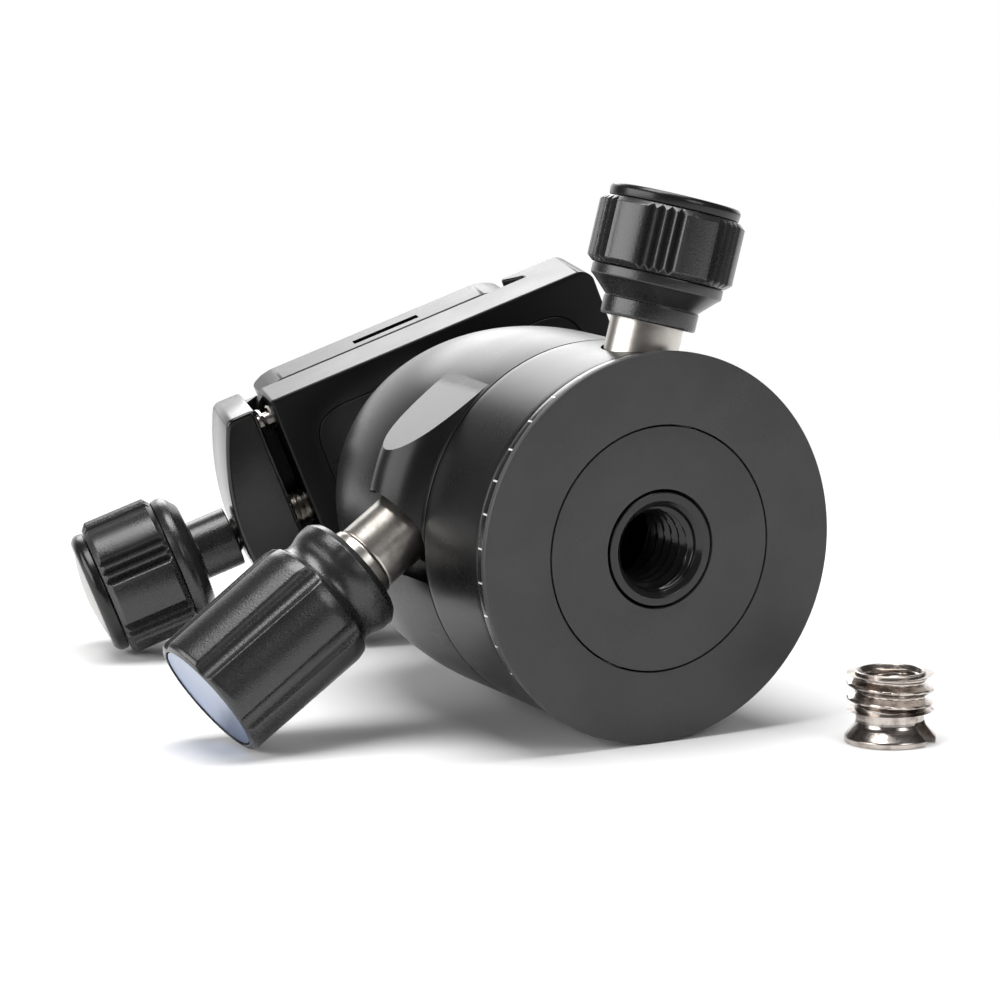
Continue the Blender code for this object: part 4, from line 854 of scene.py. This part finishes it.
def ribbedRubber(name, seat, pitch):
    # black rubber with straight moulded ribs along the plate
    finish = softPlastic(name, 0.012, 0.02, 0.7, 0.4)
    x, _, _ = finish.parts(finish.place(seat))
    rib = ((x / pitch).maths("FRACT", x / pitch) - 0.5).size() * 2
    under = finish.shader.inputs["Normal"].links[0].from_socket
    return finish.feed(Normal=finish.bump(rib.between(0.2, 0.7), 0.9, 0.0003, Wire(finish, under)))


rubber = ribbedRubber("pad_rubber", clampSeat, 0.9 * mm)
pads = {"inner": 5.3, "outer": 14.6, "half": 13.1, "corner": 1.2, "height": 0.9, "edge": 0.25}
for number, ends in ((1, (pads["inner"], pads["outer"])), (2, (-pads["outer"], -pads["inner"]))):
    outline = rectangle(*ends, -pads["half"], pads["half"], pads["corner"])
    pad = bare(f"grip_pad_{number}", slabGrid(outline, release["top"], release["top"] + pads["height"],
                                              pads["edge"]), clampSeat, capped=True)
    finished(pad, "plate", rubber, [f"plate_pad_{number}"])

screwSize = {"head": 6.4, "start": 26.6, "headEnd": 29.5, "end": 39.3, "tip": 2.75}
cameraThread = {"radius": 3.1, "depth": 0.45, "pitch": 1.27, "low": 30.6, "high": 39.4, "fade": 0.7}
screw = threaded([
    (0, screwSize["end"], 0), (screwSize["tip"], screwSize["end"], 0.1),
    (cameraThread["radius"], 38.9, 0.05), (cameraThread["radius"], screwSize["headEnd"], 0.1),
    (screwSize["head"], screwSize["headEnd"], 0.25), (screwSize["head"], screwSize["start"], 0.25),
    (0, screwSize["start"], 0)], [cameraThread])
screw = bare("plate_screw", screw, clampSeat)
worked(screw, [(boxTool("coin_slot", (-0.5, -40, 20), (0.5, 40, 27.6), clampSeat), "DIFFERENCE")])
finished(screw, "camera_screw", ballSteel, ["camera_screw"], crease=40)
print("plate done")


# ball and stem
ball = {"radius": 13.5, "neck": 5.6, "flange": 6.6, "hole": 2.65, "spigot": 4.0}
tilt = np.linspace(math.pi / 2, -math.pi / 2, 65)
ballGrid = turnedGrid(ball["radius"] * np.column_stack([np.abs(np.cos(tilt)).round(9), np.sin(tilt)]),
                      evenAngles(128))
finished(bare("head_ball", ballGrid, clampSeat), "ball", ballSteel, ["ball"])
reach = np.linspace(ball["neck"], ball["hole"], 8)
foot = np.column_stack([reach, np.sqrt((ball["radius"] + 0.15) ** 2 - reach ** 2), 0 * reach])
stem = turned("clamp_stem", [
    (ball["hole"], 18.4, 0), (ball["spigot"], 18.4, 0.2), (ball["spigot"], 16.3, 0),
    (ball["flange"], 16.3, 0.15), (ball["flange"], 15.6, 0.15), (ball["neck"] + 0.1, 15.0, 0.5),
    *foot.tolist()], clampSeat, 128, ringed=True)
finished(stem, "stem", ballSteel, ["stem"])


# loose bush: outer and inner helix, waist, slotted flange
bush = {"height": 7.8, "rim": 3.88, "waist": 3.72, "cone": 1.8, "flange": 4.98, "flangeHeight": 0.6,
        "bore": 3.2, "mouth": 3.55, "slotWidth": 2.5, "slotDepth": 2.45, "turn": math.radians(-59)}
outerThread = {"radius": 4.76, "depth": 0.98, "pitch": 1.5875, "low": 3.5, "high": 7.45, "fade": 0.8}
innerThread = {"radius": bush["bore"], "depth": 0.45, "pitch": 1.27, "low": 0.5, "high": 7.4, "fade": 0.5}
bushSteel = turnedSteel("bush_steel", bushSeat, light=(0.58, 0.53, 0.49), dark=(0.15, 0.115, 0.10),
                        gloss=0.17, mottle=0.8)
bushGrid = threaded([
    (bush["rim"], bush["height"], 0.12), (bush["rim"], 7.5, 0), (outerThread["radius"], 7.49, 0),
    (outerThread["radius"], 3.5, 0), (bush["waist"], 3.48, 0),
    (bush["waist"], bush["cone"] + 0.2, 0.5), (bush["flange"], bush["flangeHeight"], 0.12),
    (bush["flange"], 0, 0.1), (bush["mouth"], 0, 0.1), (bush["bore"], 0.5, 0.05),
    (bush["bore"], 7.3, 0.05), (bush["mouth"], bush["height"], 0.1)],
    [outerThread, innerThread], around=128, step=0.09)
bushPiece = bare("reducer_bush", bushGrid, bushSeat, ringed=True)
c, s = math.cos(bush["turn"]), math.sin(bush["turn"])
slotSeat = {"at": bushSeat["at"], "turn": np.array([[c, -s, 0], [s, c, 0], [0, 0, 1]])}
worked(bushPiece, [(boxTool("bush_slot", (-20, -bush["slotWidth"] / 2, -1),
                            (20, bush["slotWidth"] / 2, bush["slotDepth"]), slotSeat), "DIFFERENCE")])
finished(bushPiece, "bush", bushSteel, ["thread_bush"], crease=40)
print("ball, stem and bush done")


# the CAD pieces that stay: seats, screws, springs and the guide inside the housings
kept = {"white_nylon": nylon, "turned_steel": headSteel, "black_anodised": black, "black_rubber": rubber,
        "silver_disc": paleDisc}
for name, thing in frame["nodes"].items():
    if name in dressed:
        continue
    for place in thing.material_slots:
        slotName = place.material.name.split(".")[0] if place.material else "turned_steel"
        place.material = kept.get(slotName, headSteel).material
    print("kept", name, [place.material.name for place in thing.material_slots])


# floor, light, camera
def stageFinish():
    # pale paper that fades to the white of the backdrop away from the object
    finish = Finish("stage_paper", Roughness=0.9, Specular_IOR_Level=0.1)
    spot = finish.place()
    x, y, _ = finish.parts(spot)
    away = finish.fromAxis(x, y)
    mottle = finish.noise(spot, 60, 3)
    finish.feed(Base_Color=finish.blend(mottle, (0.90, 0.90, 0.90), (0.93, 0.93, 0.93)))
    seen = finish.node("ShaderNodeLightPath", {}, output="Is Camera Ray")
    white = finish.node("ShaderNodeEmission", {}, {"Color": (1, 1, 1, 1), "Strength": 1.0})
    paper = Wire(finish, finish.shader.outputs[0])
    share = away.between(0.10, 0.24) * seen
    both = finish.node("ShaderNodeMixShader", {}, {0: share, 1: paper, 2: white})
    output = finish.tree.nodes["Material Output"]
    finish.tree.links.new(both.socket, output.inputs["Surface"])
    return finish


stage = {"reach": 1.4, "drop": 0.02, "cells": 8}
across = stage["cells"] + 1
edge = np.linspace(-stage["reach"], stage["reach"], across)
gx, gy = np.meshgrid(edge, edge)
floorPoints = np.stack([gx, gy, np.full_like(gx, -stage["drop"] * mm)], -1).reshape(-1, 3)
corner = np.arange(stage["cells"])[:, None] * across + np.arange(stage["cells"])[None]
floorFaces = np.stack([corner, corner + 1, corner + across + 1, corner + across], -1).reshape(-1, 4)
floorMesh = bpy.data.meshes.new("stage_floor")
floorMesh.from_pydata(floorPoints.tolist(), [], floorFaces.tolist())
floor = inScene("stage_floor", floorMesh)
floorMesh.materials.append(stageFinish().material)

world = bpy.data.worlds.new("studio")
bpy.context.scene.world = world
world.use_nodes = True
sky = world.node_tree
sky.nodes.clear()
path = sky.nodes.new("ShaderNodeLightPath")


def skyNode(kind, operation, *inputs):
    # a node of the world: numbers and tuples are set, sockets are linked
    made = sky.nodes.new(kind)
    if operation:
        made.operation = operation
    for i, value in enumerate(inputs):
        if isinstance(value, (int, float, tuple)):
            made.inputs[i].default_value = value
        else:
            sky.links.new(value, made.inputs[i])
    return made.outputs[0]


def backdrop(strength):
    # white light from all round
    return skyNode("ShaderNodeBackground", None, (1, 1, 1, 1), strength)


# metal and satin black mirror the white backdrop behind the object and a dimmer room in front of it
heading = skyNode("ShaderNodeVectorMath", "DOT_PRODUCT",
                  sky.nodes.new("ShaderNodeTexCoord").outputs["Generated"], (0.47, 0.88, 0.1))
ahead = skyNode("ShaderNodeMapRange", None, heading.node.outputs["Value"], 0.65, 0.91)
mirrored = skyNode("ShaderNodeMixShader", None, ahead, backdrop(0.07), backdrop(1.35))
offCamera = skyNode("ShaderNodeMixShader", None, path.outputs["Is Glossy Ray"], backdrop(0.15), mirrored)
direct = skyNode("ShaderNodeMath", "MAXIMUM", path.outputs["Is Camera Ray"],
                 path.outputs["Is Transmission Ray"])
seen = skyNode("ShaderNodeMixShader", None, direct, offCamera, backdrop(1.0))
sky.links.new(seen, sky.nodes.new("ShaderNodeOutputWorld").inputs["Surface"])


def setUp(thing, side, back, place):
    # side and back are the thing's own X and Z; Y stands across both
    turn = Matrix(np.column_stack([side, np.cross(back, side), back]).tolist()).to_4x4()
    turn.translation = place
    thing.matrix_world = turn


def softLamp(name, place, aim, width, depth, power):
    # a rectangular lamp that looks from its place to what it is aimed at
    lamp = bpy.data.lights.new(name, "AREA")
    lamp.shape, lamp.size, lamp.size_y, lamp.energy = "RECTANGLE", width, depth, power
    back = unit(np.array(place) - np.array(aim))
    setUp(inScene(name, lamp), unit(np.cross([0, 1, 0.01], back)), back, place)


softLamp("top_light", (-0.02, 0.0, 0.75), (0, 0, 0.02), 0.66, 0.40, 6.4)
softLamp("back_light", (0.22, 0.78, 0.44), (0, 0, 0.03), 0.56, 0.30, 1.9)
softLamp("front_light", (0.16, -0.64, 0.40), (0, 0, 0.03), 0.30, 0.30, 1.1)
softLamp("left_light", (-0.75, 0.10, 0.30), (0, 0, 0.03), 0.46, 0.85, 5.0)

view = {"back": (-0.190005, -0.320981, 0.063917), "right": (0.8824, -0.4704, -0.0110),
        "ahead": (0.4633, 0.8726, -0.1547), "lens": 126.0}
lens = bpy.data.cameras.new("main_view")
lens.lens, lens.sensor_width, lens.clip_start = view["lens"], 36.0, 0.01
camera = inScene("main_view", lens)
back = -unit(view["ahead"])
right = unit(np.cross(np.cross(back, view["right"]), back))
setUp(camera, right, back, np.array(joints["pan"]["pos_m"]) + view["back"])
bpy.context.scene.camera = camera
bpy.context.scene.view_settings.view_transform = "Standard"
print("stage, lights and camera set")
